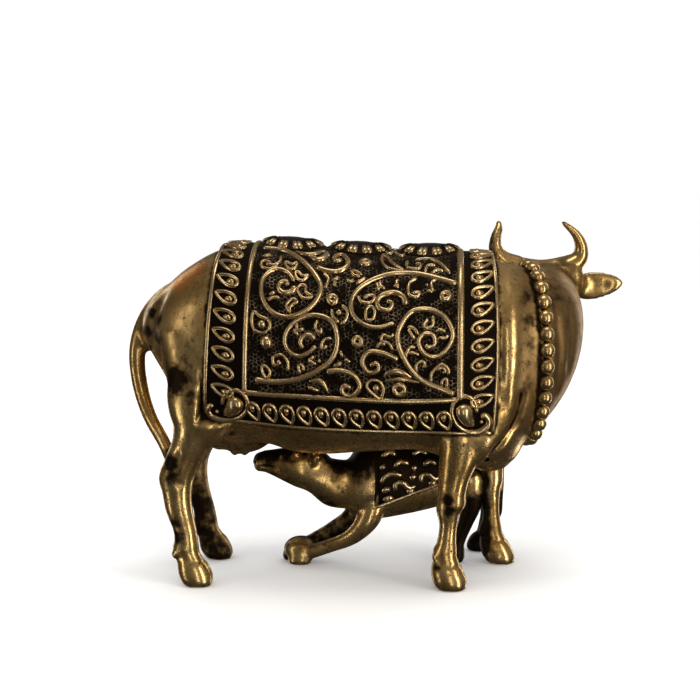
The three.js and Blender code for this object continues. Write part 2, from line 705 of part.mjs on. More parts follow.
function calfLeg({ rows, hoof: [x, y] }) {
  const hoof = CALF_HOOF.map(([z, back, length, width]) => [z, x + back, length, y, width]);
  return bar(rows, { count: 5, sides: 6 }).add(limb(hoof, levelRing, { count: 3, sides: 7 }));
}

function calfEar({ root, heading }) {
  const way = vector(...heading).normalize();
  const place = (along) => vector(...root).addScaledVector(way, along).toArray();
  const rows = CALF_EAR.map(([along, radius]) => [...place(along), radius]);
  return bar(rows, { count: 3, sides: 5 });
}

function calfFigure() {
  const headAndNeck = limb(CALF_HEAD, headingRing, { count: 8, sides: 9 });
  const tailAndEars = [bar(CALF_TAIL, { count: 6, sides: 5 }), ...CALF_EARS.map(calfEar)];
  return joined([calfTrunk(), headAndNeck, calfCloth(), ...tailAndEars, ...CALF_LEGS.map(calfLeg)]);
}

// The two castings

function cowFigure() {
  const onHead = [pollBar(), horn(RIGHT_HORN), horn(LEFT_HORN), ear(RIGHT_EAR), ear(LEFT_EAR)];
  const legs = LEGS.map((rows) => leg(rows));
  const body = [trunk(), neck(), head(), ...onHead, tail(), udder(), ...legs];
  const cast = joined([...body, saddleCloth(), garland()]);
  return LEGS.reduce((whole, rows) => whole.subtract(cleft(rows)), cast);
}

// What the calf is fitted against: the cow's plain forms, swelled by the braze gap.
function cowClearance() {
  const forms = [trunk, neck, head, udder].map((form) => form(BRAZE_GAP));
  return joined([...forms, ...LEGS.map((rows) => leg(rows, BRAZE_GAP))]);
}

function casting(name, made) {
  const { vertProperties, triVerts } = made.getMesh();
  const geometry = new THREE.BufferGeometry();
  geometry.setAttribute("position", new THREE.BufferAttribute(vertProperties, 3));
  geometry.setIndex(new THREE.BufferAttribute(triVerts, 1));
  const piece = new THREE.Mesh(geometry.toNonIndexed(), new THREE.MeshStandardMaterial(BRASS));
  piece.geometry.computeVertexNormals();
  piece.name = name;
  return piece;
}

const statue = new THREE.Group();
statue.add(casting("cow", cowFigure()), casting("calf", calfFigure().subtract(cowClearance())));

const box = new THREE.Box3().setFromObject(statue);
const middle = box.getCenter(vector(0, 0, 0));
statue.position.set(-middle.x, -middle.y, -box.min.z);

export default statue;
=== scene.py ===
import bpy
import numpy as np
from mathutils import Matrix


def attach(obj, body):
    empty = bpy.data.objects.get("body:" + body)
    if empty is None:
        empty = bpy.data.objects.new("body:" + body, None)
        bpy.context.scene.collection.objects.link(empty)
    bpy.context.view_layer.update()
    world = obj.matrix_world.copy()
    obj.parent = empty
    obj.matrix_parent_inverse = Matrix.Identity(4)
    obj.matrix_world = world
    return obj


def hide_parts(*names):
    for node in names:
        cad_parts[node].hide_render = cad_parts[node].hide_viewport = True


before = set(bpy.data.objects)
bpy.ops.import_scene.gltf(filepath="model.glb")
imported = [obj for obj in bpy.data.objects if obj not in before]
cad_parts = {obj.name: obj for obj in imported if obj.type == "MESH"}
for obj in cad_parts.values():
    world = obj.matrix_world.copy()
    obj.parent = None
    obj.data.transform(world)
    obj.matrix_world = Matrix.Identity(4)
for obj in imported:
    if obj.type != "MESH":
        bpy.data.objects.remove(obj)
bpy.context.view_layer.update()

MM = 0.001
MIDDLE = np.array([7.0613, 8.6591, 0])  # of the statue's outer box, from the drawing's origin


# The cow's body
# One lost-wax casting: trunk, neck, head, legs, tail and udder, smoothed by hand in the wax.
# Closed forms are cast into one skin, the creases between them are filled, then details are pressed in.

def between(rows, t):
    """A smooth curve through the rows of a table, at shares t of the way along it. Each column is a
    cubic between two rows, with the slope at a row set by the rows on both sides of it."""
    rows = np.asarray(rows, float)
    place = np.clip(t, 0, 1) * (len(rows) - 1)
    i = np.minimum(place.astype(int), len(rows) - 2)
    f = (place - i)[..., None]
    a, b, d, e = (rows[np.clip(i + k, 0, len(rows) - 1)] for k in (-1, 0, 1, 2))
    return b + 0.5 * f * (d - a + f * (2 * a - 5 * b + 4 * d - e + f * (3 * (b - d) + e - a)))


def traced(rows, count):
    """The same curve at so many even shares of its way."""
    return between(rows, np.linspace(0, 1, count))


def run_of(path):
    """The distance along a path from its start to each of its points."""
    return np.concatenate([[0], np.linalg.norm(np.diff(path, axis=0), axis=1).cumsum()])


def reached(path, distances):
    """The places at the given distances along a path, straight between its points."""
    run = run_of(path)
    return np.stack([np.interp(distances, run, column) for column in path.T], -1)


def full_turn(count):
    """So many angles evenly round a full turn."""
    return np.linspace(0, 2 * np.pi, count, endpoint=False)


def fade(value, start, end):
    """A share that is 0 up to the start, 1 from the end on, and rises evenly between them."""
    return np.clip((value - start) / (end - start), 0, 1)


def unit(vectors):
    """Vectors divided by their own lengths."""
    return vectors / np.linalg.norm(vectors, axis=-1, keepdims=True)


def skin(rings, loop=False):
    """Points and triangles of a closed form over rings of points, an array of (rings, corners, 3), or
    wider where the points carry a value too. Squares join the rings. The last ring joins the first if
    they run round as a loop, or else a fan closes each end. The faces point outwards."""
    n, m = rings.shape[:2]
    points = np.concatenate([rings.reshape(n * m, -1), rings[:1].mean(1), rings[-1:].mean(1)])
    i, j = np.meshgrid(np.arange(n if loop else n - 1), np.arange(m), indexing="ij")
    here, next_ring, k = i * m, (i + 1) % n * m, (j + 1) % m
    corners = [here + j, here + k, next_ring + k, here + j, next_ring + k, next_ring + j]
    faces = np.stack(corners, -1).reshape(-1, 3)
    if loop:
        points = points[:-2]
    else:
        j, k, end = np.arange(m), (np.arange(m) + 1) % m, (n - 1) * m
        fans = [[k, j, np.full(m, n * m)], [end + j, end + k, np.full(m, n * m + 1)]]
        faces = np.concatenate([faces, *(np.stack(fan, -1) for fan in fans)])
    a, b, c = (points[faces[:, q], :3] for q in range(3))
    inward = (a * np.cross(b, c)).sum() < 0
    return points, faces[:, ::-1] if inward else faces


def rings_of(centre, across, up, corners=32, fullness=2.0):
    """Rings of a superellipse about each centre: the cosine and sine of the turn, each raised to
    2 / fullness, along the half axes across and up. A fullness of 2 is an ellipse, more is squarer."""
    turn = full_turn(corners)
    c, s = (np.sign(v) * np.abs(v) ** (2 / fullness) for v in (np.cos(turn), np.sin(turn)))
    return centre[:, None] + across[:, None] * c[:, None] + up[:, None] * s[:, None]


def heading(yaw, pitch):
    """The forward, left and up directions of what faces yaw degrees round from +X and pitch degrees up."""
    y, p = np.radians(yaw), np.radians(pitch)
    forward = np.stack([np.cos(y) * np.cos(p), np.sin(y) * np.cos(p), np.sin(p)], -1)
    left = np.stack([-np.sin(y), np.cos(y), 0 * y], -1)
    up = np.stack([-np.cos(y) * np.sin(p), -np.sin(y) * np.sin(p), np.cos(p)], -1)
    return forward, left, up


def headed(rows, count=70):
    """A form along rows of [x, y, z, yaw, pitch, half width, half height]: elliptical rings, square to
    each row's heading."""
    x, y, z, yaw, pitch, width, height = traced(rows, count).T
    _, left, up = heading(yaw, pitch)
    return skin(rings_of(np.stack([x, y, z], -1), left * width[:, None], up * height[:, None], 44))


def level(x, y, z, length, width, corners, fullness):
    """A form of level rings about the places x, y, z, each with half its length along X and half its
    width along Y."""
    flat = np.zeros_like(z)
    lengthways, widthways = np.stack([length, flat, flat], -1), np.stack([flat, width, flat], -1)
    return skin(rings_of(np.stack([x, y, z], -1), lengthways, widthways, corners, fullness))


def leaf(rows, root, way, upright, corners):
    """An ear: elliptical rings from its root along a heading, with the long axis as near to the upright
    as stays square to the heading. The rows are [how far along, half width, half thickness]."""
    along, width, thick = rows.T[..., None]
    up = unit(upright - way * (way @ upright))
    return skin(rings_of(root + way * along, up * width, np.cross(way, up) * thick, corners))


def bar(rows, count=60, side=(0, 1, 0)):
    """A round bar along rows of [x, y, z, radius]. Four more rings past each end, shrinking as the
    cosine of a quarter turn while they step out by its sine, round off the end."""
    row = traced(rows, count)
    along = unit(np.gradient(row[:, :3], axis=0))
    quarter = np.radians([20, 45, 65, 82])[:, None]
    nose = [(row[e, :3] + d * along[e] * row[e, 3] * np.sin(quarter), row[e, 3] * np.cos(quarter),
             along[[e] * 4]) for e, d in ((0, -1), (-1, 1))]
    centre = np.concatenate([nose[0][0][::-1], row[:, :3], nose[1][0]])
    radius = np.concatenate([nose[0][1][::-1], row[:, 3:], nose[1][1]])
    along = np.concatenate([nose[0][2], along, nose[1][2]])
    across = unit(side - (along @ np.array(side, float))[:, None] * along)
    return skin(rings_of(centre, across * radius, np.cross(along, across) * radius, 20))


def pebble(centre, half, axes=np.eye(3), rings=19, corners=24):
    """An ellipsoid of the given half sizes: rings of latitude about the third of its axes."""
    lat = np.radians(np.linspace(-86, 86, rings))[:, None]
    a, b, c = np.array(axes, float) * np.array(half, float)[:, None]
    middle = np.array(centre, float) + c * np.sin(lat)
    return skin(rings_of(middle, a * np.cos(lat), b * np.cos(lat), corners))


# Stations of [x, back, belly, half width], from the rump to the chest.
TRUNK = [
    [-56.4, 68.6, 64.6, 2.5], [-54, 73.8, 61.6, 8.2], [-49.2, 78.8, 54, 14.2], [-43, 84, 43.5, 18.8],
    [-34, 88.6, 37, 21.6], [-23, 88.9, 36.4, 23], [-15, 88.5, 34.2, 23.5], [-6, 87.9, 33.5, 23.8],
    [6, 87.2, 34.4, 23.8], [19, 86.9, 34.8, 23.2], [30, 86.9, 31.2, 21.8], [38.5, 86.2, 29, 19],
    [44.6, 82, 32.6, 14.2], [50, 72, 43, 5],
]
FULLNESS = 2.3
STATIONS = traced(TRUNK, 2001)


def hide(x, turn, grow=0.0):
    """A place on the trunk's skin: the superellipse of the station at x, turned from the spine towards
    her left, with its half axes grown by so many millimetres."""
    back, belly, width = (np.interp(x, STATIONS[:, 0], STATIONS[:, k]) for k in (1, 2, 3))
    s, c = (np.sign(v) * np.abs(v) ** (2 / FULLNESS) for v in (np.sin(turn), np.cos(turn)))
    z = (back + belly) / 2 + ((back - belly) / 2 + grow) * c
    return np.stack(np.broadcast_arrays(x, (width + grow) * s, z), -1)


trunk = skin(hide(traced(TRUNK, 80)[:, :1], full_turn(64)))

# Rows for headed(), from inside the shoulders to behind the poll.
NECK = [
    [26, 0, 59, 0, 0, 21.5, 26.5], [39, 0.6, 58.2, 6, 0, 19, 27], [47.8, 2.4, 61, 15, 0, 15.2, 23],
    [53.2, 7.5, 65.2, 46, 0, 11.6, 18.2], [54, 14.5, 70.4, 76, 0, 9.4, 12.6], [53.6, 21, 74, 100, 0, 8.2, 10],
]
COLLAR = NECK[2]  # where the garland hangs

HEAD_YAW, HEAD_PITCH = 106, -38
POLL = np.array([53.8, 18.5, 77])
HEAD_AXES = np.array(heading(HEAD_YAW, HEAD_PITCH))


def on_head(forward, right, above):
    """A place on the head: forward of the poll, to the cow's right, and above the brow line."""
    return POLL + np.stack(np.broadcast_arrays(forward, -np.asarray(right, float), above), -1) @ HEAD_AXES


# Stations of [forward of the poll, below the brow line, half width, half height].
HEAD = np.array([
    [-4.5, 0.5, 3.4, 3], [-2, 0.3, 7.6, 6], [3, 0, 8.1, 7.6], [9, 0.4, 7.3, 7.9], [15, 0.4, 5.9, 6.4],
    [21, 0.2, 5, 5.2], [26, 0.2, 5.4, 5], [29.4, 0.2, 4.6, 4.2], [30.8, 0.4, 2.6, 2.4],
])
head_way = np.full((len(HEAD), 2), [HEAD_YAW, HEAD_PITCH])
head_rows = np.column_stack([on_head(HEAD[:, 0], 0, -HEAD[:, 1]), head_way, HEAD[:, 2:]])

# Horns as rows of [x, y, z, radius]. The bar across the poll joins the places where they turn up.
RIGHT_HORN = [
    [60, 20.6, 83.2, 2.4], [63, 21.4, 85, 2.3], [63.6, 21.6, 88.4, 1.85], [62, 20.8, 92, 1.3],
    [58.4, 19.6, 95.2, 0.65],
]
LEFT_HORN = [
    [45.6, 16.4, 83.6, 2.7], [41.6, 15.8, 85, 2.6], [39.5, 15.6, 88, 1.95], [39.5, 16.2, 91, 1.55],
    [40.3, 17.4, 93.6, 1.2], [40.4, 18.4, 95.2, 0.8],
]
poll_bar = [[*LEFT_HORN[1][:3], 2.0], [*on_head(-0.5, 0, 7.2), 1.9], [*RIGHT_HORN[1][:3], 2.0]]

# An ear as rows of [share of its length, half width, half thickness], and each ear's root and heading.
EAR = [[-0.08, 1.9, 1.6], [0.1, 2.4, 1.5], [0.33, 3.8, 1.4], [0.6, 3.7, 1.3], [0.85, 2.4, 1.1], [1, 0.6, 0.4]]
EAR_LENGTH = 16
EARS = [(on_head(2.2, 7, 1.4), unit(np.array([0.99, 0.06, 0.1]))),
        (on_head(3.4, -7, 1.8), unit(np.array([-0.8, 0.55, 0.24])))]
ears = [leaf(traced(EAR, 40) * [EAR_LENGTH, 1, 1], root, way, np.array([0, 0, 1]), 28) for root, way in EARS]

# Legs as rows of [z, x, half length, y, half width], from inside the trunk to the sole.
HIND_LEG = [
    [68, -40.6, 9.6, 11, 8], [56, -37.8, 9.8, 13, 8.4], [47, -37.7, 8.3, 14, 7.2], [40, -39.8, 6, 14.2, 5.8],
    [34, -42.8, 5.2, 14.2, 4.8], [29, -45, 4.8, 14.2, 4.3], [24.5, -45, 3.9, 14.2, 3.7],
    [20, -44.5, 3.6, 14.2, 3.3], [14.5, -43, 3.1, 14.2, 3], [10.5, -42.6, 3.2, 14.2, 3.1],
    [8.2, -42.1, 3, 14.2, 2.9], [5.2, -41, 4.1, 14.2, 3.9], [2.2, -40.2, 4.5, 14.2, 4.3],
    [0, -39.6, 3.7, 14.2, 3.8],
]
FORE_LEG = [
    [60, 32, 8.4, 11, 7.5], [48, 31, 7.4, 13, 7.2], [40, 30, 5.8, 13.8, 5.6], [34, 29.2, 5.1, 14, 4.6],
    [28.5, 28, 4, 14, 3.9], [23.5, 27.3, 3.6, 14, 3.6], [20.8, 26.7, 3.2, 14, 3.3], [17, 26.7, 2.4, 14, 2.6],
    [13.5, 26.4, 2.4, 14, 2.5], [10.3, 26.1, 2.9, 14, 2.9], [8.3, 26.1, 3, 14, 2.9], [5.2, 26.4, 4.2, 14, 4],
    [2.2, 27.2, 4.6, 14, 4.4], [0, 27.6, 3.8, 14, 3.9],
]
NEAR, FAR = -1, 1  # her right side, which faces the camera, and her left
SIDES = (NEAR, FAR)
KNEE, THIGH_SHARE = 30, 0.55  # the knee's height, and the part of a leg over which a step fades in


def stance(rows, side, knee=0.0, ground=0.0):
    """A leg's rows on one side, stepped forward at the knee and at the ground. The step fades in over
    the thigh's share and, below the knee, goes from one amount to the other in step with height."""
    z, x, length, y, width = np.array(rows, float).T
    step = ground + (knee - ground) * np.minimum(1, z / KNEE)
    faded = np.minimum(1, (z[0] - z) / (THIGH_SHARE * z[0]))
    return np.stack([z, x + step * faded, length, y * side, width], -1)


LEGS = [stance(HIND_LEG, NEAR), stance(HIND_LEG, FAR, -0.9, 1.3),
        stance(FORE_LEG, NEAR), stance(FORE_LEG, FAR, 10.6, 14.2)]


def leg(rows):
    """Level rings down the rows of a leg, a little squarer than an ellipse."""
    z, x, length, y, width = traced(rows, 90).T
    return level(x, y, z, length, width, 32, 2.2)


# The tail as rows of [x, y, z, radius]. A short bridge holds it to the rump, where it stands off.
TAIL = [
    [-45, 0, 79.6, 1.6], [-50.6, 0, 75.8, 2.1], [-54.9, -0.2, 70.6, 2.25], [-57.4, -0.4, 64, 2.35],
    [-58, -0.8, 57.5, 2.2], [-56.8, -1.6, 50, 2.05], [-54, -3.8, 43, 1.85], [-49.6, -7.6, 36.8, 1.75],
    [-46.4, -11, 31, 1.55],
]
TAIL_BRIDGE = [[-57.6, -0.6, 62.6, 2.15], [-54, -0.3, 63, 2.15], [-49, 0, 63.4, 2.15]]

UDDER = pebble([-29.4, 0, 39.2], [8.8, 7, 6.2])
TEATS = [[[x, side * out, z, r] for out, z, r in ([2.6, 36, 2.2], [2.8, 34.6, 1.8], [3, 33.8, 1.1])]
         for x in (-31.2, -28.4) for side in SIDES]
FETLOCK = 9  # its row in a leg's table


def dewclaws(rows):
    """The two small claws behind a fetlock, and the pad of the heel under them, placed by shares of the
    fetlock's half length and half width."""
    _, x, length, y, width = rows[FETLOCK]
    claws = [pebble([x - length * 0.82, y + k * width * 0.42, 8.4], [1.25, 1.1, 1.5]) for k in SIDES]
    return [*claws, pebble([x - length * 0.1, y, 10], [length * 1.08, width * 1.06, 2.2])]


CAST = [
    # [centre], [half sizes]: swellings of the wax over bone and muscle
    ([-37.5, -16.6, 51], [9.4, 5, 14]), ([-37.5, 16.6, 51], [9.4, 5, 14]),  # thighs
    ([-47.2, -14.4, 29.5], [2.4, 3.2, 3.6]), ([-46.4, 14.4, 29.5], [2.4, 3.2, 3.6]),  # points of the hocks
    ([27.8, -14.2, 23.4], [3.5, 3.6, 3.6]), ([38.8, 14.2, 23.4], [3.3, 3.5, 3.6]),  # knees
    ([33.5, -13.6, 44], [7, 5.4, 11]), ([35.5, 13.6, 44], [7, 5.4, 11]),  # shoulders above the forelegs
    ([60.8, 20.6, 79.4], [3.7, 3.6, 5.4]),  # the root of the right horn
    ([-35.4, 0, 38.8], [4.6, 6.4, 5]),  # between the udder and the thighs
]


def joined(forms):
    """Points and triangles of several forms as one list of each."""
    start = np.cumsum([0] + [len(p) for p, _ in forms])
    faces = np.concatenate([f + s for (_, f), s in zip(forms, start)])
    return np.concatenate([p for p, _ in forms]), faces


def piece(name, points, faces, **values):
    """A smooth mesh object from points in millimetres and faces of equal corner counts. Each of the
    values becomes an attribute with one number for each point."""
    mesh = bpy.data.meshes.new(name)
    mesh.vertices.add(len(points))
    mesh.vertices.foreach_set("co", ((points - MIDDLE) * MM).astype(np.float32).ravel())
    mesh.loops.add(faces.size)
    mesh.loops.foreach_set("vertex_index", faces.astype(np.int32).ravel())
    mesh.polygons.add(len(faces))
    mesh.polygons.foreach_set("loop_start", np.arange(0, faces.size, faces.shape[1], dtype=np.int32))
    mesh.polygons.foreach_set("use_smooth", np.ones(len(faces), bool))
    for label, value in values.items():
        numbers = np.broadcast_to(value, len(points)).astype(np.float32)
        mesh.attributes.new(label, "FLOAT", "POINT").data.foreach_set("value", numbers)
    mesh.update(calc_edges=True)
    made = bpy.data.objects.new(name, mesh)
    bpy.context.scene.collection.objects.link(made)
    return made


def one_skin(forms, cell):
    """One closed surface round all the forms, as points and squares of about the cell's size. Blender's
    voxel remesh drops what lies inside."""
    raw = piece("wax", *joined(forms))
    remesh = raw.modifiers.new("one_skin", "REMESH")
    remesh.mode, remesh.voxel_size = "VOXEL", cell * MM
    made = raw.evaluated_get(bpy.context.evaluated_depsgraph_get()).to_mesh()
    points, faces = np.empty(len(made.vertices) * 3), np.empty(len(made.loops), np.int32)
    made.vertices.foreach_get("co", points)
    made.loops.foreach_get("vertex_index", faces)
    bpy.data.meshes.remove(raw.data)
    return points.reshape(-1, 3) / MM + MIDDLE, faces.reshape(-1, 4)


def edges_of(squares):
    """Each edge of the squares once, as a pair of point numbers."""
    pairs = np.concatenate([squares[:, [k, (k + 1) % 4]] for k in range(4)])
    return np.unique(np.sort(pairs, axis=1), axis=0)


def spread(values, edges):
    """For each point, the average of a value over the points it is joined to."""
    a, b = edges.T
    n = len(values)
    count = np.bincount(a, minlength=n) + np.bincount(b, minlength=n)
    columns = values.reshape(n, -1).T
    total = np.stack([np.bincount(a, c[b], n) + np.bincount(b, c[a], n) for c in columns], -1)
    return (total / count[:, None]).reshape(values.shape)


def facing(points, squares):
    """The outward direction at each point: the cross products of its squares' diagonals, added up."""
    p = points[squares]
    square = np.cross(p[:, 2] - p[:, 0], p[:, 3] - p[:, 1])
    total = [sum(np.bincount(squares[:, k], square[:, c], len(points)) for k in range(4)) for c in range(3)]
    return unit(np.stack(total, -1))


def filled(points, squares, edges, rounds, share=0.9):
    """Creases filled as with soft wax. Each point moves to the average of its neighbours along the
    surface, and outwards by a share of the way, but never inwards."""
    for _ in range(rounds):
        normal = facing(points, squares)
        move = spread(points, edges) - points
        out = (move * normal).sum(1, keepdims=True)
        points = points + 0.5 * (move - out * normal) + share * np.maximum(out, 0) * normal
    return points


def away(points, path, reach=6.0):
    """The distance from each point to the nearest point of a path, no more than the reach."""
    path = np.asarray(path, float)
    near = ((points > path.min(0) - reach) & (points < path.max(0) + reach)).all(1)
    square = (points[near] ** 2).sum(1)[:, None] + (path**2).sum(1) - 2 * points[near] @ path.T
    distance = np.full(len(points), reach)
    distance[near] = np.minimum(np.sqrt(np.maximum(square.min(1), 0)), reach)
    return distance


def bell(distance, width):
    """A bell curve: e to the power of minus the square of the distance over the width."""
    return np.exp(-((distance / width) ** 2))


def mark(points, path, depth, width, count=60):
    """How far a tool's mark raises each point: the depth, times a bell curve of the distance from a
    smooth path over its half width. A negative depth presses a groove."""
    return depth * bell(away(points, traced(path, count)), width)


def side_mark(points, normal, side, path, depth, width):
    """The same for a mark drawn from one side: [x, z] rows, on the skin that faces that side."""
    facing_side = np.clip(side * normal[:, 1] * 2, 0, 1) * (side * points[:, 1] > 1)
    return facing_side * mark(points[:, [0, 2]], path, depth, width)


def hollows(points, squares, edges, rounds):
    """How deep each point lies in a hollow, in millimetres: how far out the surface would be there if
    it were smoothed by so many rounds of averaging. It is negative on a ridge."""
    smooth = points
    for _ in range(rounds):
        smooth = 0.5 * smooth + 0.5 * spread(smooth, edges)
    depth = ((smooth - points) * facing(points, squares)).sum(1)
    for _ in range(2):
        depth = spread(depth, edges)
    return depth


# The cloth over her back, which hides the plain trunk: its edges, and its hem's height from rear to front.
CLOTH = 1.3  # how far its ground stands above the hide
CLOTH_REAR, CLOTH_FRONT = -36.0, 38.2
CLOTH_LENGTH = CLOTH_FRONT - CLOTH_REAR
HEM = [[45.2], [43.6], [42.6], [42.1], [41.9]]
FADE_OUT = 1.5  # how far past its outline the forms that it hides come back to themselves


def hem_height(x):
    """The height of the cloth's hem at x."""
    return between(HEM, (x - CLOTH_REAR) / CLOTH_LENGTH)[:, 0]


SLANT_RISE, HEM_SLANT, LEAN, BOW = 50, -1.2, 3.2, 1.0  # of the edges: over what height, and how far


def slant(up, x=0.0):
    """How far forward the cloth stands at a height up the flank. Its rear edge leans forward evenly from
    the hem to the back, and its front edge bows forward by half a sine wave; in between they blend."""
    up, ahead = fade(up, 0, SLANT_RISE), x / CLOTH_LENGTH
    return (HEM_SLANT + LEAN * up) * (1 - ahead) + BOW * np.sin(np.pi * up**0.9) * ahead


def inside_cloth(points):
    """How far each point lies inside the cloth's outline, seen from the side, or outside it if negative."""
    x, _, z = points.T
    up = z - hem_height(x)
    from_rear, from_front = x - CLOTH_REAR - slant(up), CLOTH_FRONT + slant(up, CLOTH_LENGTH) - x
    return np.minimum(np.minimum(from_rear, from_front), up)


def under_cloth(points):
    """Points proud of the trunk inside the cloth's outline, brought in to the trunk's superellipse along
    lines from its middle. The change fades out just outside the outline."""
    x, y, z = points.T
    back, belly, width = (np.interp(x, STATIONS[:, 0], STATIONS[:, k]) for k in (1, 2, 3))
    middle, rise = (back + belly) / 2, (back - belly) / 2
    out = ((np.abs(y) / width) ** FULLNESS + (np.abs(z - middle) / rise) ** FULLNESS) ** (1 / FULLNESS)
    horn = (x > 33) & (y > 8) & (z > 80)  # the left horn stands above the cloth's front edge
    shrink = 1 + fade(inside_cloth(points), -FADE_OUT, 0) * (1 / np.maximum(out, 1) - 1) * ~horn
    return np.stack([x, y * shrink, middle + (z - middle) * shrink], -1)


ROLL_MIDDLE, ROLL_AXES, ROLL_SPAN = (40.8, 0.9, 58.2), (18.4, 27), (12, 128)  # the span in degrees


def shoulder_roll(side):
    """The rounded edge of the shoulder, just in front of the cloth: a bar let into the neck's skin,
    along an ellipse round the neck from near the spine to below the middle. How fat it is, and how far
    it is let in, both swell and shrink as half a sine wave."""
    turn, share = np.radians(np.linspace(*ROLL_SPAN, 12)), np.linspace(0, 1, 12)
    radius = 1.6 + 3.4 * np.sin(np.pi * fade(0.9 * share + 0.12, 0, 1))
    sunk = radius - 1.5 * np.sin(np.pi * fade(0.85 * share + 0.1, 0, 1))
    out, up = (ROLL_AXES[0] - sunk) * np.sin(turn), (ROLL_AXES[1] - sunk) * np.cos(turn)
    x, y, z = ROLL_MIDDLE
    return bar(np.stack([x + 0.4 * share, y + side * out, z + up, radius], -1))


forms = [trunk, headed(NECK), headed(head_rows), bar(RIGHT_HORN), bar(LEFT_HORN), bar(poll_bar), *ears]
forms += [leg(rows) for rows in LEGS] + [claw for rows in LEGS for claw in dewclaws(rows)]
forms += [bar(TAIL), bar(TAIL_BRIDGE), UDDER] + [bar(teat, side=(1, 0, 0)) for teat in TEATS]
forms += [shoulder_roll(side) for side in SIDES] + [pebble(*swelling) for swelling in CAST]
points, squares = one_skin(forms, cell=0.62)
edges = edges_of(squares)
points = under_cloth(filled(points, squares, edges, rounds=14))
normal = facing(points, squares)

# Creases seen from either side, as [x, z] rows, with their depth and width.
CREASES = [
    ([[45.6, 52], [44.6, 46.5], [42, 41], [38.4, 36.6], [36.4, 33.4]], -0.85, 0.9),  # shoulder to dewlap
    ([[36.4, 33.6], [39.4, 32.3], [43.4, 31.8]], -0.5, 0.7),  # across the brisket
    ([[-48.6, 77.4], [-50.4, 73], [-51.8, 68], [-52.2, 64]], -0.7, 1.3),  # beside the tail's root
    ([[-30.4, 43.6], [-33.6, 40.4], [-36, 37]], -0.35, 1.0),  # the flank's fold above the hind leg
    ([[-43.4, 36], [-44.4, 31.5], [-43.6, 27.5]], -0.3, 0.8),  # inside the hock
    ([[54.6, 71], [55.6, 62], [54.8, 52]], -0.42, 1.1),  # the neck's folds
    ([[58, 74], [58.8, 66], [58.2, 57]], -0.36, 0.9),
    ([[52.4, 62], [52.6, 54], [51.2, 45]], -0.36, 1.0),
]
UNDER_POLL_BAR = ([[48.8, 82.6], [53, 81.9], [58, 81], [62, 79.6]], -0.8, 0.9)  # on her right side only

# Marks on both sides of the head, as rows of [forward of the poll, out to the side, above the brow line].
FACE = [
    ([[30.4, 0.2, -2], [29.4, 3.6, -2.2], [25.5, 5, -2.4], [20.5, 4.6, -2.2]], -0.55, 0.6),  # the mouth
    ([[29.2, 1.8, 2.4], [28.4, 2.7, 2.6], [27.6, 3.1, 2.3]], -0.8, 0.75),  # the nostril
    ([[6.6, 7.4, -1.8], [8.8, 7.4, -1.6], [11.2, 7.2, -2.0]], -0.6, 1.9),  # the eye's socket
    ([[5.6, 6.9, 0.8], [8.6, 6.9, 1.6], [11.6, 6.6, 0.6]], 0.4, 1.0),  # the brow over it
]
pressed = side_mark(points, normal, NEAR, *UNDER_POLL_BAR)
for side in SIDES:
    for crease in CREASES:
        pressed += side_mark(points, normal, side, *crease)
    for rows, depth, width in FACE:
        forward, out, above = np.array(rows).T
        pressed += mark(points, on_head(forward, side * out, above), depth, width)
for root, way in EARS:  # the hollow of the ear, on the side that faces the camera
    hollow = root + way * EAR_LENGTH * np.linspace(0.54, 0.62, 8)[:, None] - [0, 1.2, 0]
    pressed += mark(points, hollow, -0.85, 2.4)
for rows in LEGS:  # the cleft of each hoof, and a groove round the pastern above it
    (sole_x, sole_length), (wall_z, wall_x, wall_length, y, _) = rows[-1, 1:3], rows[-3]
    cleft = [[wall_x + 0.5 * wall_length, y, wall_z + 0.9], [wall_x + 0.95 * wall_length, y, wall_z - 0.6],
             [sole_x + 1.15 * sole_length, y, 1.6], [sole_x + 1.1 * sole_length, y, 0]]
    pressed += mark(points, cleft, -0.75, 0.6)
    _, x, length, y, width = rows[-4]
    turn = np.linspace(0, 2 * np.pi, 80)
    c, s = np.cos(turn), np.sin(turn)
    groove = np.stack([x + 0.3 + (length + 0.5) * c, y + (width + 0.5) * s, 6.9 - 0.5 * c], -1)
    pressed -= 0.28 * bell(away(points, groove), 0.6)
points = points + normal * pressed[:, None]
points[:, 2] = np.maximum(points[:, 2], 0)
normal = facing(points, squares)
recess = hollows(points, squares, edges, rounds=14)

# Patina and painted light. One value darkens the brass towards black, for real stains and for painted shade;
# another mixes in a dull dark brown, partly a dull finish and partly painted shade; a third paints in an
# orange reflection.
# Dark patches on her right side, as [x, z, radius, strength]: stains, with painted shade and reflections
# where marked.
PATCHES = [
    [-43.6, 55.4, 5.6, 1.3], [-41, 63, 5.5, 0.75], [-39.6, 57, 5.6, 0.9], [-40.2, 51.4, 4, 0.9],  # thigh
    [-46.4, 33.6, 4, 1.12], [-46, 29.4, 3.4, 1.05], [-44.8, 17, 3, 1.0], [-44.4, 13.4, 3.4, 1.05],  # hind leg: painted dark reflections
    [-43.9, 12.4, 1.6, 0.7], [-45.4, 7.2, 1.3, 0.8],
    [26.4, 24.2, 2.4, 1.12], [27.2, 21.4, 2.2, 1.0], [23.6, 6, 1.5, 0.95],  # foreleg
    [24.6, 40.6, 0.9, 0.8], [27.6, 40.4, 0.8, 0.8], [24.8, 37.4, 1.0, 0.7],
    [-50, 70.4, 3, 0.9], [-49.8, 65.6, 3, 0.95], [-50, 74.6, 2.6, 0.8], [-52, 72, 2.6, 1.0],  # rump: a painted shadow beside the tail
    [-53, 67, 2.8, 1.0], [-53, 62.6, 1.8, 0.85], [-56.4, 67, 1.8, 0.6],
    [-30.5, 40.6, 2.2, 0.9], [-27, 38.4, 1.6, 0.7],  # udder
    [46.4, 77, 2.8, 0.5], [47, 71, 3.2, 0.55], [47.4, 64.6, 3, 0.5],  # shoulder and neck: patina, with painted shade before the beads
    [52.6, 76, 4, 0.5], [57, 70, 3, 0.25], [54.8, 62, 1.3, 0.35],
]
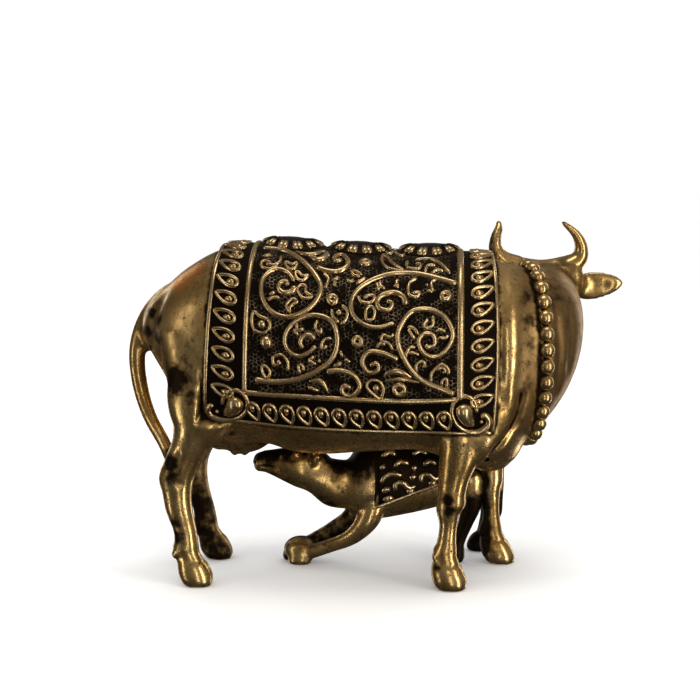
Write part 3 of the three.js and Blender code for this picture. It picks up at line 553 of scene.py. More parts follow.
BEFORE_BEADS = [[46.2, 83], [46.8, 74], [47, 64], [46.6, 54], [45.2, 45]]  # a dull dark band of painted shade and patina before the beads, as [x, z]
UDDER_STAIN = [[-36, -4, 38], [-30, -5, 36.6], [-24.6, -4, 38]]
ORANGE_REFLECTION_PATH = [[-44.4, 79.6], [-41.6, 82.2], [-38.8, 84.2]]  # a painted orange reflection high on the rump, as [x, z]
x, y, z = points.T
seen = np.clip(-2 * normal[:, 1], 0, 1)  # faces the camera's side
stain = np.zeros(len(points))
for patch_x, patch_z, radius, strength in PATCHES:
    stain = np.maximum(stain, strength * seen * bell(np.hypot(x - patch_x, z - patch_z), radius) ** 1.5)
left_hind, left_fore = (y > 4) & (z < 42) & (x < 20), (y > 4) & (z < 38) & (x > 20)
# Painted shade on the inward faces low between the legs and on the undersides, and a painted shadow just
# outside the cloth's edge.
shade_between_legs = np.clip(-np.sign(y) * normal[:, 1], 0, 1) * (z < 36)
shade_between_legs *= np.where((x > 20) & (y > 0), 0.3, 1)  # less of the painted shade on her left foreleg, which is as bright as the right
shaded_underside = np.clip(-normal[:, 2] - 0.2, 0, 1) * (z > 20)
shadow_beside_cloth = bell(np.minimum(inside_cloth(points), 0), 1.1) * (z > 40)
before_beads = bell(away(points[:, [0, 2]], traced(BEFORE_BEADS, 60)), 2.3)
under_poll = fade(x, 50, 53) * fade(z, 58, 70) * (x < 62)
udder = bell(away(points, traced(UDDER_STAIN, 30)), 3.6)
for most in (0.55 * shade_between_legs, 0.36 * shaded_underside, 0.95 * shadow_beside_cloth):
    stain = np.maximum(stain, most)
# Darker towards the ground; painted shade with patina on her left hind leg; painted shade on the left half of
# her left foreleg.
stain += 0.14 * fade(z, 48, 14) + 0.2 * left_hind + 0.9 * left_fore * fade(x, 39.4, 37.4)
stain += 0.1 * under_poll + 0.3 * before_beads + 0.45 * udder
# A dull dark brown: the neck's dull finish, painted shade before the beads and on her left hind leg, and a
# duller top to the rump.
matt = 0.85 * fade(x, 50, 53) * (z < 84) * np.where((x > 62) & (z > 73), 0.1, 1)  # the neck, but not the ear
matt += 0.9 * before_beads * (matt < 0.3) + 0.7 * left_hind + 0.42 * fade(x, -38, -42) * fade(z, 58, 66)
# A painted orange reflection high on the rump, and a faint one on the undersides.
warm = np.maximum(seen * bell(away(points[:, [0, 2]], traced(ORANGE_REFLECTION_PATH, 40)), 2.0), 0.16 * shaded_underside)
cow_body = piece("cow_body", points, squares, recess=recess, stain=stain, matt=matt, warm=warm)
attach(cow_body, "root")
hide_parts("cow")


# Her eyes, let into their sockets: a ball with a lid of wax laid round it.
EYE_FORWARD, EYE_ABOVE = 8.8, -1.7  # its middle, from the poll and from the brow line
BALL_OUT, LID_OUT = 6.5, 7.15  # how far the middles of ball and lid lie to the side


def eye(k):
    """Her right eye where k is 1, or her left where it is -1: a ball, and round it an oval ring of
    elliptical section that dips at both corners, as the square of the cosine."""
    middle = on_head(EYE_FORWARD, k * BALL_OUT, EYE_ABOVE)
    ball = pebble(middle, [1.75, 1.15, 1.3], HEAD_AXES * [[1], [-k], [1]])
    c, s = np.cos(full_turn(40)), np.sin(full_turn(40))
    lid = on_head(EYE_FORWARD + 2.15 * c, k * (LID_OUT - 0.3 * c**2), EYE_ABOVE + 1.45 * s + 0.25 * c)
    ahead = unit(np.roll(lid, -1, 0) - np.roll(lid, 1, 0))
    outward = np.broadcast_to(HEAD_AXES[1] * -k, lid.shape)
    return [ball, skin(rings_of(lid, outward * 0.42, np.cross(ahead, outward) * 0.36, 10), loop=True)]


eyes = joined(eye(-1) + eye(1))
cow_eyes = piece("cow_eyes", *eyes, recess=0.05)
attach(cow_eyes, "root")


class Wiring:
    """Shorthand for a node tree. Each call adds a node, sets or links its inputs, and gives it back."""

    def __init__(self, tree):
        self.tree = tree

    def put(self, value, socket):
        """A link into the socket, or a plain value set on it."""
        if isinstance(value, bpy.types.NodeSocket):
            self.tree.links.new(value, socket)
        else:
            socket.default_value = value

    def __call__(self, kind, inputs=None, **settings):
        node = self.tree.nodes.new("ShaderNode" + kind)
        for name, value in settings.items():
            setattr(node, name, value)
        for name, value in (inputs or {}).items():
            self.put(value, node.inputs[name])
        return node

    def maths(self, operation, a, b=0.0):
        """What one operation makes of two values."""
        return self("Math", {0: a, 1: b}, operation=operation).outputs[0]

    def times(self, a, b):
        """The product of two values."""
        return self.maths("MULTIPLY", a, b)

    def plus(self, first, *more):
        """The sum of two or more values."""
        for value in more:
            first = self.maths("ADD", first, value)
        return first

    def most(self, first, *more):
        """The greatest of two or more values."""
        for value in more:
            first = self.maths("MAXIMUM", first, value)
        return first

    def ramp(self, value, low, high):
        """0 below low, 1 above high, smooth between. It falls instead where low is the greater."""
        inputs = {"Value": value, "From Min": low, "From Max": high}
        return self("MapRange", inputs, interpolation_type="SMOOTHSTEP").outputs[0]

    def mix(self, share, a, b):
        """A colour that goes from a to b with the share. A colour may be given as red, green and blue."""
        node = self("Mix", data_type="RGBA")
        for k, value in ((0, share), (6, a), (7, b)):
            self.put((*value, 1) if isinstance(value, tuple) else value, node.inputs[k])
        return node.outputs[2]

    def noise(self, vector, scale, detail, roughness=0.5, **settings):
        """Cloudy noise over a vector, with so many waves to its unit."""
        inputs = {"Vector": vector, "Scale": scale, "Detail": detail, "Roughness": roughness}
        return self("TexNoise", inputs, **settings).outputs

    def attribute(self, label):
        """The number that each point of the piece carries under a label."""
        return self("Attribute", attribute_name=label).outputs["Fac"]


def emptied(owner):
    """The wiring of a new material's or world's node tree, with nothing in it."""
    owner.use_nodes = True
    owner.node_tree.nodes.clear()
    return Wiring(owner.node_tree)


# Brass darkened with a brown-black patina, then rubbed: it stays in hollows, in stains and in the casting's
# pits. The same black and a dull dark brown also paint in shade. Age darkens the whole piece, pale is the
# most rubbed work, and an orange is painted in as a reflection.
GOLD, OCHRE, BROWN = (0.80, 0.555, 0.235), (0.60, 0.375, 0.13), (0.30, 0.175, 0.06)
STREAK, DULL_AND_SHADE_BROWN, PATINA_AND_SHADE_BLACK = (0.20, 0.115, 0.04), (0.175, 0.098, 0.04), (0.017, 0.0105, 0.006)
PALE, REFLECTED_ORANGE = (0.66, 0.54, 0.36), (0.8, 0.3, 0.05)
PIT_DEPTH = 0.00012  # metres
METAL_INPUTS = ("Hollow", "Stain_And_Shade", "Matt_And_Shade", "Orange_Reflection", "Pitting", "Age", "Pale")
METAL_OUTPUTS = {"Color": "Color", "Roughness": "Float", "Height": "Float"}

aged_brass = bpy.data.node_groups.new("aged_brass", "ShaderNodeTree")
for label in METAL_INPUTS:
    aged_brass.interface.new_socket(label, in_out="INPUT", socket_type="NodeSocketFloat")
for label, kind in METAL_OUTPUTS.items():
    aged_brass.interface.new_socket(label, in_out="OUTPUT", socket_type="NodeSocket" + kind)
wire = Wiring(aged_brass)
given = wire.tree.nodes.new("NodeGroupInput").outputs
where = wire("TexCoord").outputs["Object"]
upright = wire("Mapping", {"Vector": where, "Scale": (1, 1, 0.22)}).outputs[0]
cloudy = wire.noise(where, 70.0, 3.0)["Fac"]
mottled = wire.noise(where, 340.0, 5.0, 0.65)["Fac"]
streaky = wire.noise(upright, 700.0, 3.0)["Fac"]
grain = wire.noise(where, 1600.0, 2.0)["Fac"]
pit_field = wire("TexVoronoi", {"Vector": where, "Scale": 1250.0}).outputs["Distance"]
pit_places = wire.ramp(wire.plus(mottled, wire.times(given["Pitting"], 0.25)), 0.6, 0.76)
pit = wire.times(wire.ramp(pit_field, 0.42, 0.16), pit_places)
tone = wire.mix(wire.ramp(cloudy, 0.35, 0.66), GOLD, OCHRE)
tone = wire.mix(wire.times(wire.ramp(mottled, 0.42, 0.72), 0.7), tone, BROWN)
tone = wire.mix(wire.times(wire.ramp(streaky, 0.5, 0.72), 0.35), tone, STREAK)
tone = wire.mix(wire.times(given["Matt_And_Shade"], 0.9), tone, DULL_AND_SHADE_BROWN)
tone = wire.mix(given["Pale"], tone, PALE)
tone = wire.mix(given["Orange_Reflection"], tone, REFLECTED_ORANGE)
uneven = wire.times(wire.plus(mottled, -0.5), 1.5)
cloud = wire.times(wire.plus(cloudy, -0.5), 1.1)
in_hollows = wire.ramp(wire.plus(given["Hollow"], wire.times(uneven, 0.5)), 0.2, 0.85)
in_stains = wire.ramp(wire.plus(given["Stain_And_Shade"], given["Age"], uneven, cloud), 0.38, 1.2)
patina_and_shade = wire.most(in_hollows, in_stains, wire.times(pit, 0.92))
rough = wire.plus(wire.times(mottled, 0.26), 0.13, wire.times(patina_and_shade, 0.22), wire.times(given["Matt_And_Shade"], 0.2))
height = wire.plus(wire.times(grain, 0.4), wire.times(pit, -1.0), wire.times(mottled, 0.9))
result = wire.tree.nodes.new("NodeGroupOutput").inputs
for label, value in zip(METAL_OUTPUTS, (wire.mix(patina_and_shade, tone, PATINA_AND_SHADE_BLACK), rough, height)):
    wire.put(value, result[label])


def brass(name, hollow, pitting=0.3, age=0.0, bump=0.35, pale=0.0):
    """A material of aged brass. The hollow is an attribute's name and the range over which it darkens.
    The attributes of stains with painted shade, of dull brown with painted shade and of a painted orange
    reflection are read where a piece has them."""
    made = bpy.data.materials.new(name)
    wire = emptied(made)
    label, low, high = hollow
    metal = wire("Group", node_tree=aged_brass)
    depth = wire.ramp(wire.attribute(label), low, high)
    fields = [wire.attribute(field) for field in ("stain", "matt", "warm")]
    for socket, value in zip(METAL_INPUTS, (depth, *fields, pitting, age, pale)):
        wire.put(value, metal.inputs[socket])
    color, rough, height = (metal.outputs[label] for label in METAL_OUTPUTS)
    raised = wire("Bump", {"Strength": bump, "Distance": PIT_DEPTH, "Height": height}).outputs[0]
    inputs = {"Base Color": color, "Roughness": rough, "Metallic": 1.0, "Normal": raised}
    wire("OutputMaterial", {"Surface": wire("BsdfPrincipled", inputs).outputs[0]})
    return made


cow_brass = brass("cow_brass", ("recess", 0.015, 0.22), pitting=0.5, age=0.2)
cow_body.data.materials.append(cow_brass)
cow_eyes.data.materials.append(cow_brass)


# The saddle cloth
# Cast with the cow: a cloth over her back, its sunk ground tooled all over with small rings.
# It is laid out flat in millimetres: x from its rear edge, and up each flank from the hem.

# A table of turns round the trunk, by the place along it and the distance from the spine over the cloth.
REACH_STEP, LONGEST = 0.5, 66
table_x = np.linspace(CLOTH_REAR - 3, CLOTH_FRONT + 3, 121)
table_turn = np.linspace(0, 0.8 * np.pi, 600)
table_reach = np.arange(0, LONGEST, REACH_STEP)
arcs = hide(table_x[:, None], table_turn, CLOTH)
runs = [run_of(arc) for arc in arcs]
hems = hem_height(table_x)
FLANK = np.array([np.interp(-hem, -arc[:, 2], run) for hem, arc, run in zip(hems, arcs, runs)])
TURNS = np.array([np.interp(table_reach, run, table_turn) for run in runs])


def flank_at(x):
    """How far it is from the hem to the spine, at x from the cloth's rear edge."""
    return np.interp(x + CLOTH_REAR, table_x, FLANK)


def on_cloth(x, up, raised=0.0, side=NEAR):
    """A place on the cloth, raised above its ground. Past the spine it goes on down the other side.
    The turn round the trunk is read from a table of arc lengths, straight between its entries."""
    x, up, raised = np.broadcast_arrays(*(np.asarray(value, float) for value in (x, up, raised)))
    left = flank_at(x) - up
    place = np.clip((x + CLOTH_REAR - table_x[0]) / (table_x[1] - table_x[0]), 0, len(table_x) - 1.001)
    reach = np.clip(np.abs(left) / REACH_STEP, 0, len(table_reach) - 1.001)
    i, k = place.astype(int), reach.astype(int)
    f, g = place - i, reach - k
    behind, ahead = ((1 - g) * TURNS[j, k] + g * TURNS[j, k + 1] for j in (i, i + 1))
    turn = (1 - f) * behind + f * ahead
    point = hide(x + CLOTH_REAR, turn, CLOTH + raised)
    point[..., 1] *= side * np.where(left < 0, -1, 1)
    return point


THICK = 2.2  # from its ground down to its underside, within the hide
along = np.linspace(0, CLOTH_LENGTH, 110)[:, None]
over = np.linspace(0, 2, 180) * flank_at(along)
along = along + slant(np.minimum(over, 2 * flank_at(along) - over), along)
upper, under = (on_cloth(along, over, raised) for raised in (0.0, -THICK))
cloth_points, cloth_faces = skin(np.concatenate([upper, under[:, ::-1]], axis=1))
saddle_cloth = piece("saddle_cloth", cloth_points, cloth_faces)
flat = np.stack([along, over], -1)
flat = np.concatenate([flat, flat[:, ::-1]], axis=1).reshape(-1, 2)
flat = np.concatenate([flat, flat[:1], flat[-1:]]) / 100  # in units of 100 mm, as are the sizes below
laid_out = saddle_cloth.data.uv_layers.new(name="laid_out")
laid_out.data.foreach_set("uv", flat[cloth_faces.ravel()].astype(np.float32).ravel())

# The ground is black with patina. Worn tan shows on the net of metal left between the punched rings.
RING_PITCH, RING_DEPTH = 0.0108, 0.00018  # the depth in metres
WOBBLE = (0.014, 0.014, 0)  # how far the rows of rings stray
FIELD_REAR, FIELD_FRONT, FIELD_FOOT = (0.10, 0.12), (0.655, 0.64), (0.09, 0.105)  # the field's soft edges
BLACK, WORN_TAN = (0.012, 0.008, 0.0055), (0.27, 0.21, 0.14)
punched = bpy.data.materials.new("punched_ground")
wire = emptied(punched)
sheet = wire("UVMap", uv_map="laid_out").outputs[0]
stray = wire.noise(sheet, 60.0, 1.0)["Color"]
stray = wire("VectorMath", {0: stray, 1: WOBBLE}, operation="MULTIPLY").outputs[0]
bent = wire("VectorMath", {0: sheet, 1: stray}, operation="ADD").outputs[0]
waves = 0.0
for turn in np.radians([0, 60, 120]):  # three waves add up to a honeycomb of low walls between round peaks
    slope = 4 * np.pi / (np.sqrt(3) * RING_PITCH) * np.array([np.cos(turn), np.sin(turn), 0])
    wave = wire("VectorMath", {0: bent, 1: tuple(slope)}, operation="DOT_PRODUCT").outputs["Value"]
    waves = wire.plus(wire.maths("COSINE", wave), waves)
net = wire.ramp(waves, -0.55, -1.25)
patches = wire.noise(sheet, 26.0, 6.0, 0.7, noise_dimensions="2D")["Fac"]
spot = wire("SeparateXYZ", {0: sheet}).outputs
flank = FLANK.mean() / 100
from_spine = wire.maths("ABSOLUTE", wire.plus(spot["Y"], -flank))
within = wire.times(wire.ramp(spot["X"], *FIELD_REAR), wire.ramp(spot["X"], *FIELD_FRONT))
within = wire.times(within, wire.ramp(from_spine, *(flank - edge for edge in FIELD_FOOT)))
net = wire.times(net, within)
worn = wire.times(net, wire.ramp(patches, 0.43, 0.66))
raised = wire("Bump", {"Strength": 0.7, "Distance": RING_DEPTH, "Height": net}).outputs[0]
ground = wire("BsdfPrincipled", {
    "Base Color": wire.mix(worn, BLACK, WORN_TAN), "Roughness": wire.plus(0.62, wire.times(worn, -0.2)),
    "Metallic": 1.0, "Normal": raised,
})
wire("OutputMaterial", {"Surface": ground.outputs[0]})
saddle_cloth.data.materials.append(punched)
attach(saddle_cloth, "root")


# The carving on the cloth
# Half-round lines, leaves and drops, cast with the cloth and rubbed bright along their crests.

FOOT = 0.3  # how far the foot of a raised line is let into the ground
CORNERS = 7  # of a raised line's section


def ridge(lay, path, width, height, base=0.0, loop=False, blunt=0.6, corners=CORNERS):
    """A raised line along a path of [x, up] points, put on its ground by lay(x, up, raised). Its section
    is half a round: the width times the sine of a half turn, the height times its cosine, standing on
    the base, with its foot let into the ground. The ends are rounded over the blunt length. Each point
    carries its share of the height."""
    ahead = np.roll(path, -1, 0) - np.roll(path, 1, 0) if loop else np.gradient(path, axis=0)
    ahead = unit(ahead + 1e-9)
    across = np.stack([-ahead[:, 1], ahead[:, 0]], -1)[:, None]
    n = len(path)
    width, height, base = (np.broadcast_to(v, n)[:, None] for v in (width, height, base))
    if blunt and not loop:
        run = run_of(path)
        from_end = np.minimum(run, run[-1] - run)[:, None] / blunt
        rounded = np.where(from_end < 1, np.sqrt(np.clip(1 - (1 - from_end) ** 2, 0.02, 1)), 1)
        width, height = width * rounded, height * rounded
    half = np.linspace(-np.pi / 2, np.pi / 2, corners)
    flat = path[:, None] + across * (width / 2 * np.sin(half))[..., None]
    share = np.cos(half) * np.ones_like(width)
    place = lay(flat[..., 0], flat[..., 1], base + height * share - FOOT)
    return skin(np.concatenate([place, share[..., None]], -1), loop)


def way(rows, step=0.4, first=0.0, last=1.0, least=5):
    """A smooth path through listed points, from the first to the last share of its rows, in even
    steps of about so many millimetres."""
    fine = between(rows, np.linspace(first, last, 40 * len(rows)))
    length = run_of(fine)[-1]
    return reached(fine, np.linspace(0, length, max(least, int(length / step))))


def closed_way(rows):
    """The same round a closed outline, whose first and last two rows are repeated past each end."""
    turns = np.concatenate([rows[-2:], rows, rows[:2]])
    n = len(turns) - 1
    return way(turns, 0.4, 2 / n, (2 + len(rows)) / n, 9)[:-1]


# Vines: each stem runs in from the frame, round a wide circle, and coils up inside it.
VINES = [
    [[13.5, 53], [19, 52.2], [24, 47.7], [28, 42.5], [29.8, 38.5], [29, 35], [26, 31.6], [21.5, 29.8],
     [17.5, 31], [15, 34.5], [14.8, 39.5], [17.5, 43], [20.8, 42.5], [23, 39.6]],
    [[23.2, 38.4], [22.6, 36.9], [20.5, 36.1], [19, 37.4], [19.6, 39.2], [21.2, 39.2], [21, 38]],
    [[13, 13.3], [18.5, 13.1], [24, 14.1], [28.6, 16.3], [32.7, 19.6], [34.3, 24], [33.5, 28.5], [31, 30.4],
     [27.5, 30.6], [23.5, 28.7], [21.2, 25.5], [21.3, 22.2], [24, 20.1], [27, 21.1], [29, 23.1]],
    [[28.7, 24.4], [27.5, 25.5], [25.8, 25.2], [24.9, 23.7], [25.7, 21.9]],
    [[64.4, 40.3], [60, 42.2], [54.5, 44.2], [49, 44.3], [44.5, 42.7], [40.3, 39.6], [37.9, 35.8], [38, 32],
     [40.6, 29.4], [44.3, 28.6], [48.8, 30]],
    [[51.5, 34.6], [50.7, 37], [48.5, 38.1], [45.5, 37.2], [44.2, 35.1], [45.2, 33.4], [47.2, 33.3],
     [48.1, 35], [46.4, 35.6]],
    [[64, 11.5], [60, 13.3], [56, 15.3], [52.9, 18.3], [50.3, 22.8], [49.5, 26.5], [50.5, 29.8], [53.2, 33.1],
     [57.5, 33.5], [61.5, 31.1], [63.4, 27], [62.3, 23.7], [59.4, 21.4], [56.3, 22.3], [54.8, 25.2],
     [56, 27.2], [58.3, 27], [58.9, 24.7], [57.2, 23.8], [56.6, 24.9]],
    [[28.2, 45.1], [30.6, 44], [33.5, 43.8], [35.8, 45.5], [36.3, 48.5], [34.6, 51.7], [32.8, 50.2],
     [33.2, 47.9], [34.8, 49]],
    [[49.8, 20.6], [46.1, 22.1], [42.3, 22.3], [40.6, 19.8], [42.2, 17.2], [44.6, 17.8], [44.3, 19.7],
     [42.4, 18.7]],
    [[31.4, 16.5], [35, 17.1], [38.6, 16.1], [40, 13.3], [38, 10.8], [35.6, 11.5], [35.9, 13.4], [38, 12.9]],
]

# Sprigs: short hooked lines between the vines.
SPRIGS = [
    [[30, 43.2], [31.6, 41.2], [30.9, 38]], [[32.3, 41.3], [33.2, 41], [34.4, 42.3]],
    [[33.2, 41], [33.3, 38.8]], [[18.7, 48.8], [18.8, 46.3], [17.2, 44.7], [15, 45.1]],
    [[18.5, 44.8], [16.5, 43.2], [14.2, 43.9], [14.4, 46], [16.7, 45.6]], [[14, 48.2], [16.5, 48.9]],
    [[16.6, 35.4], [18.4, 36.3]], [[16.5, 33.6], [17.3, 34.6], [19.6, 34.8]],
    [[35, 34], [36.7, 32.5], [36.5, 30.3], [35, 28.7]], [[32.7, 32.8], [33.1, 30.8], [34.8, 29.1]],
    [[39.2, 36.8], [40.4, 35], [42.7, 35.1], [43.6, 36.8], [42, 36.9], [40.7, 36]],
    [[43.8, 41.1], [44.6, 38.4]], [[45, 41.6], [44.9, 40], [46.3, 39]],
    [[49.7, 42.4], [48.9, 41], [49.8, 40.1]], [[48.1, 40.3], [49.8, 39.7]],
    [[54.3, 42.7], [52.3, 40.9], [52.2, 37.8], [54, 36.9], [55, 38.2], [53, 38.1]],
    [[59.5, 42.1], [57.9, 41], [58.3, 38.3]], [[56.8, 40.9], [56.7, 40]], [[56.5, 38.9], [58.3, 38.2]],
    [[37.1, 44.8], [38, 43], [39.9, 42.6]], [[37.3, 45], [40.3, 43.3]], [[38.7, 40], [41.3, 42.5]],
    [[36.1, 41.6], [37.2, 40.6], [38.1, 41.5]], [[53.5, 50.4], [57, 51], [59.8, 48.6], [62.7, 43.7]],
    [[51.6, 49.9], [51.7, 46.7], [54.5, 46.1], [55, 47.9], [53.5, 48.7]],
    [[59.1, 47.4], [56.8, 47.3], [56.3, 44.6]], [[61.1, 44.9], [59.3, 45.3], [57.8, 44.2]],
    [[48.7, 27.3], [47.5, 26.3], [45.8, 26.8], [45.5, 25.2], [47.3, 24.7], [48.4, 22.9]],
    [[44.2, 23.3], [45, 24.6], [46.6, 24.3]], [[25, 15.4], [24.4, 17.6], [25.6, 17.7], [25.7, 16.1]],
    [[28.6, 20.4], [27.2, 19.2], [28.5, 18.5], [29.1, 18.1]], [[29.7, 19.8], [29.9, 18.6]],
    [[21.6, 15.9], [21.8, 18.2], [20.3, 20.1], [18, 19.4], [18.3, 17.4], [19.8, 18.2], [18.7, 18.5]],
    [[29.3, 29.7], [28.7, 27.6], [30, 26.2], [30.3, 27.8]],
    [[33.1, 25.2], [30.8, 24.5], [30.4, 22.3], [31.9, 23.3]], [[24, 28.6], [24.2, 26.6], [26, 27.2]],
    [[23, 27], [24.5, 25.1]], [[35.1, 22.4], [35.7, 20.2]], [[34.8, 18.8], [35.5, 19.4]],
    [[35.9, 20.2], [37.9, 19.4]], [[33.2, 18.1], [35.5, 19.1]],
    [[58.2, 32], [58.4, 29.5], [56.6, 28.6], [56.2, 30], [57.4, 31]],
    [[51.7, 29], [53.5, 28.8], [54.8, 26.9]], [[52, 28.7], [53.9, 25.8]],
    [[59.5, 26.2], [61.5, 25.9], [62.4, 26.8]], [[59.1, 27.5], [60, 28.2], [61.8, 27.5]],
    [[54.2, 23.9], [52.4, 23.7], [51.4, 20.9]], [[52.2, 22.1], [53.2, 22.6], [55.2, 21.9]],
    [[54.4, 17.3], [54.3, 19.5], [55.8, 20.4], [56.4, 19.3], [55.5, 18.9]],
    [[58, 14.7], [58.2, 17.4], [60.6, 19.4], [62.4, 17.9], [62.1, 16.4]],
    [[59, 17.8], [60.7, 18.5], [61.6, 17.6], [60.6, 17.1]],
    [[61.9, 13.1], [62, 15.4], [60.9, 15.3], [60.6, 13.7]],
    [[45.7, 56.5], [46.9, 54.5], [47.9, 58], [48.9, 54.7], [50, 52.9], [50.8, 54.6]],
]

# Leaves: lines that swell to so many millimetres in the middle.
LEAVES = [
    (1.9, [[53.2, 16.1], [50, 17.6], [47.4, 17.3], [46, 16.1]]),
    (1.3, [[55.2, 14.9], [50.2, 15.8], [46.1, 14.9]]), (1.7, [[26.9, 13.8], [30.2, 13.9], [32.1, 10.8]]),
    (1.2, [[26.5, 12.5], [29.8, 11.4]]), (1.6, [[22, 53], [24, 51], [26.2, 50.7], [28.2, 52], [30, 55.5]]),
    (2.2, [[25.7, 50.6], [27.4, 48.9], [29, 48.6], [30.4, 50.7], [30.4, 54.5]]),
]

# Commas: small closed outlines, hollow inside.
COMMAS = [
    [[20.1, 45.8], [20.8, 44.1], [22, 43.4], [23.1, 44.5], [23.1, 46.2], [22, 45.3], [20.9, 46]],
    [[23, 42.4], [23.6, 40.7], [25, 40], [26.4, 41.8], [24.9, 41.6], [23.8, 42.8]],
    [[23.9, 37.5], [24.6, 38.7], [26, 38.4], [26, 36.8], [27.7, 35.5], [25.5, 35], [24.3, 36.3]],
    [[22.1, 31.1], [21.2, 32.9], [22.6, 34.6], [24, 34], [22.9, 33.2], [22.1, 32.3]],
    [[12.9, 30.6], [14.6, 29.6], [16.8, 28.7], [17.1, 26.9], [15.4, 25.4], [13.2, 26], [12.5, 28.2]],
    [[41.5, 33], [41.6, 30.5], [43.2, 30.7], [43.7, 33], [42.5, 34]],
    [[45.4, 53.4], [45.1, 49], [46.8, 46.2], [50.6, 45.4], [47.9, 48.4]],
    [[44.7, 10.5], [41.9, 13.1], [42.7, 15.1], [44.9, 15], [46, 13], [45.2, 10.2]],
    [[15.1, 16.7], [15.4, 15], [16.4, 14], [17.2, 15.6], [16, 17.1]],
]

# Small rings and half balls as [x, up, radius].
RINGS = [[40.8, 48.2, 1.0], [32.9, 35.2, 1.0], [39.4, 24.8, 1.0], [61.5, 36.9, 1.0], [50, 13.1, 1.3]]
BOSSES = [[16.2, 23.1, 1.75], [34.6, 31.9, 0.85], [23, 14.2, 0.6], [15, 27.6, 1.15], [44.1, 13.2, 1.0]]

# The mangoes in the lower corners: a rim that runs round into a tail, with its widths, and a domed body.
MANGOES = [
    ([[4.3, 5], [4.9, 7.4], [6.6, 9.3], [9, 9.6], [10.9, 7.8], [10.8, 5], [9, 2.2], [6.4, 0.6], [3.6, 0.2],
      [1.3, 0.9], [0.3, 2.4], [0.6, 4], [2, 4.6]],
     [[8.5, 8], [8, 6.2], [6.7, 4.1], [4.5, 2]], [2.9, 2.9]),
    ([[69.7, 6.2], [69.3, 8.8], [68.1, 10.4], [66, 10.9], [63.9, 9.4], [63.3, 6.6], [64.6, 3.2], [67.2, 1.1],
      [70.1, 0.9], [72.3, 2.2], [72.9, 4], [71.8, 5.5], [70.6, 5]],
     [[66.2, 9], [66.4, 6.9], [67.4, 4.6], [69.2, 2.7]], [70.9, 3.8]),
]
RIM_WIDTH, TAIL_WIDTHS, BODY_WIDTHS = 1.2, [1.3, 2.3, 1.9, 1.5], [3.9, 4.5, 3.4, 1.6]


def swell(count):
    """A share that rises from nearly nothing to 1 in the middle of a line and falls again, as a sine."""
    return np.sin(np.pi * np.linspace(0.04, 0.96, count)) ** 0.7


def boss(lay, x, up, radius, height):
    """A half ball: a line of two radii whose width and height both follow a circle."""
    t = np.linspace(-0.97, 0.97, 9)
    round_off = np.sqrt(1 - t**2)
    path = np.array([x, up]) + (radius * t)[:, None] * [1, 0]
    return ridge(lay, path, 2 * radius * round_off, height * round_off, blunt=0)


def circle(x, up, radius, count=16):
    """Points evenly round a circle."""
    a = full_turn(count)
    return np.stack([x + radius * np.cos(a), up + radius * np.sin(a)], -1)


def border_drop(lay, x, up, tip, hook, length=5.5, width=3.0):
    """One drop of a border, with a domed bead inside it towards its round end. Its outline is half the
    length times the cosine of a turn and, across it, the width times the sine of the turn and the sine
    of half the turn, so it is widest near its round end. Its tip is bent aside by the hook."""
    a = full_turn(24)
    forward = length / 2 * np.cos(a)
    off = 0.59 * width * np.sin(a) * np.sin(a / 2) ** 0.6 + hook * ((1 + np.cos(a)) / 2) ** 2.2
    c, s = np.cos(np.radians(tip)), np.sin(np.radians(tip))
    outline = np.stack([x + forward * c - off * s, up + forward * s + off * c], -1)
    share = np.linspace(-0.95, 1, 9)
    middle = np.array([x, up]) + (1.2 * share - 0.7)[:, None] * [c, s]
    egg = np.sqrt(1 - (0.97 * share) ** 2) * (1 - 0.35 * share)
    rim = ridge(lay, outline, 1.08, 0.9, loop=True, corners=6)
    return [rim, ridge(lay, middle, 1.6 * egg, egg, blunt=0, corners=6)]


DROPS = 11  # up each flank at either end of the cloth


def upright_border(lay, x, tip, hook, first, leaning):
    """Drops up one flank. Their pitch leaves half of itself before the spine, so that they meet the other
    flank's halfway. Their line leans with the cloth's edge by a share of its slant."""
    ups = first + (flank_at(x) - first) / (DROPS - 0.5) * np.arange(DROPS)
    return [form for up in ups for form in border_drop(lay, x + leaning * slant(up), up, tip, hook)]


HEM_DROPS, HEM_PITCH = 12, 4.46  # along the hem
FRAME_FOOT, HEM_RIM = ([9.9, 9.5], [55.2, 0.5]), ([-1.0, 0.45], [75.0, 0])  # starts, and how far they run


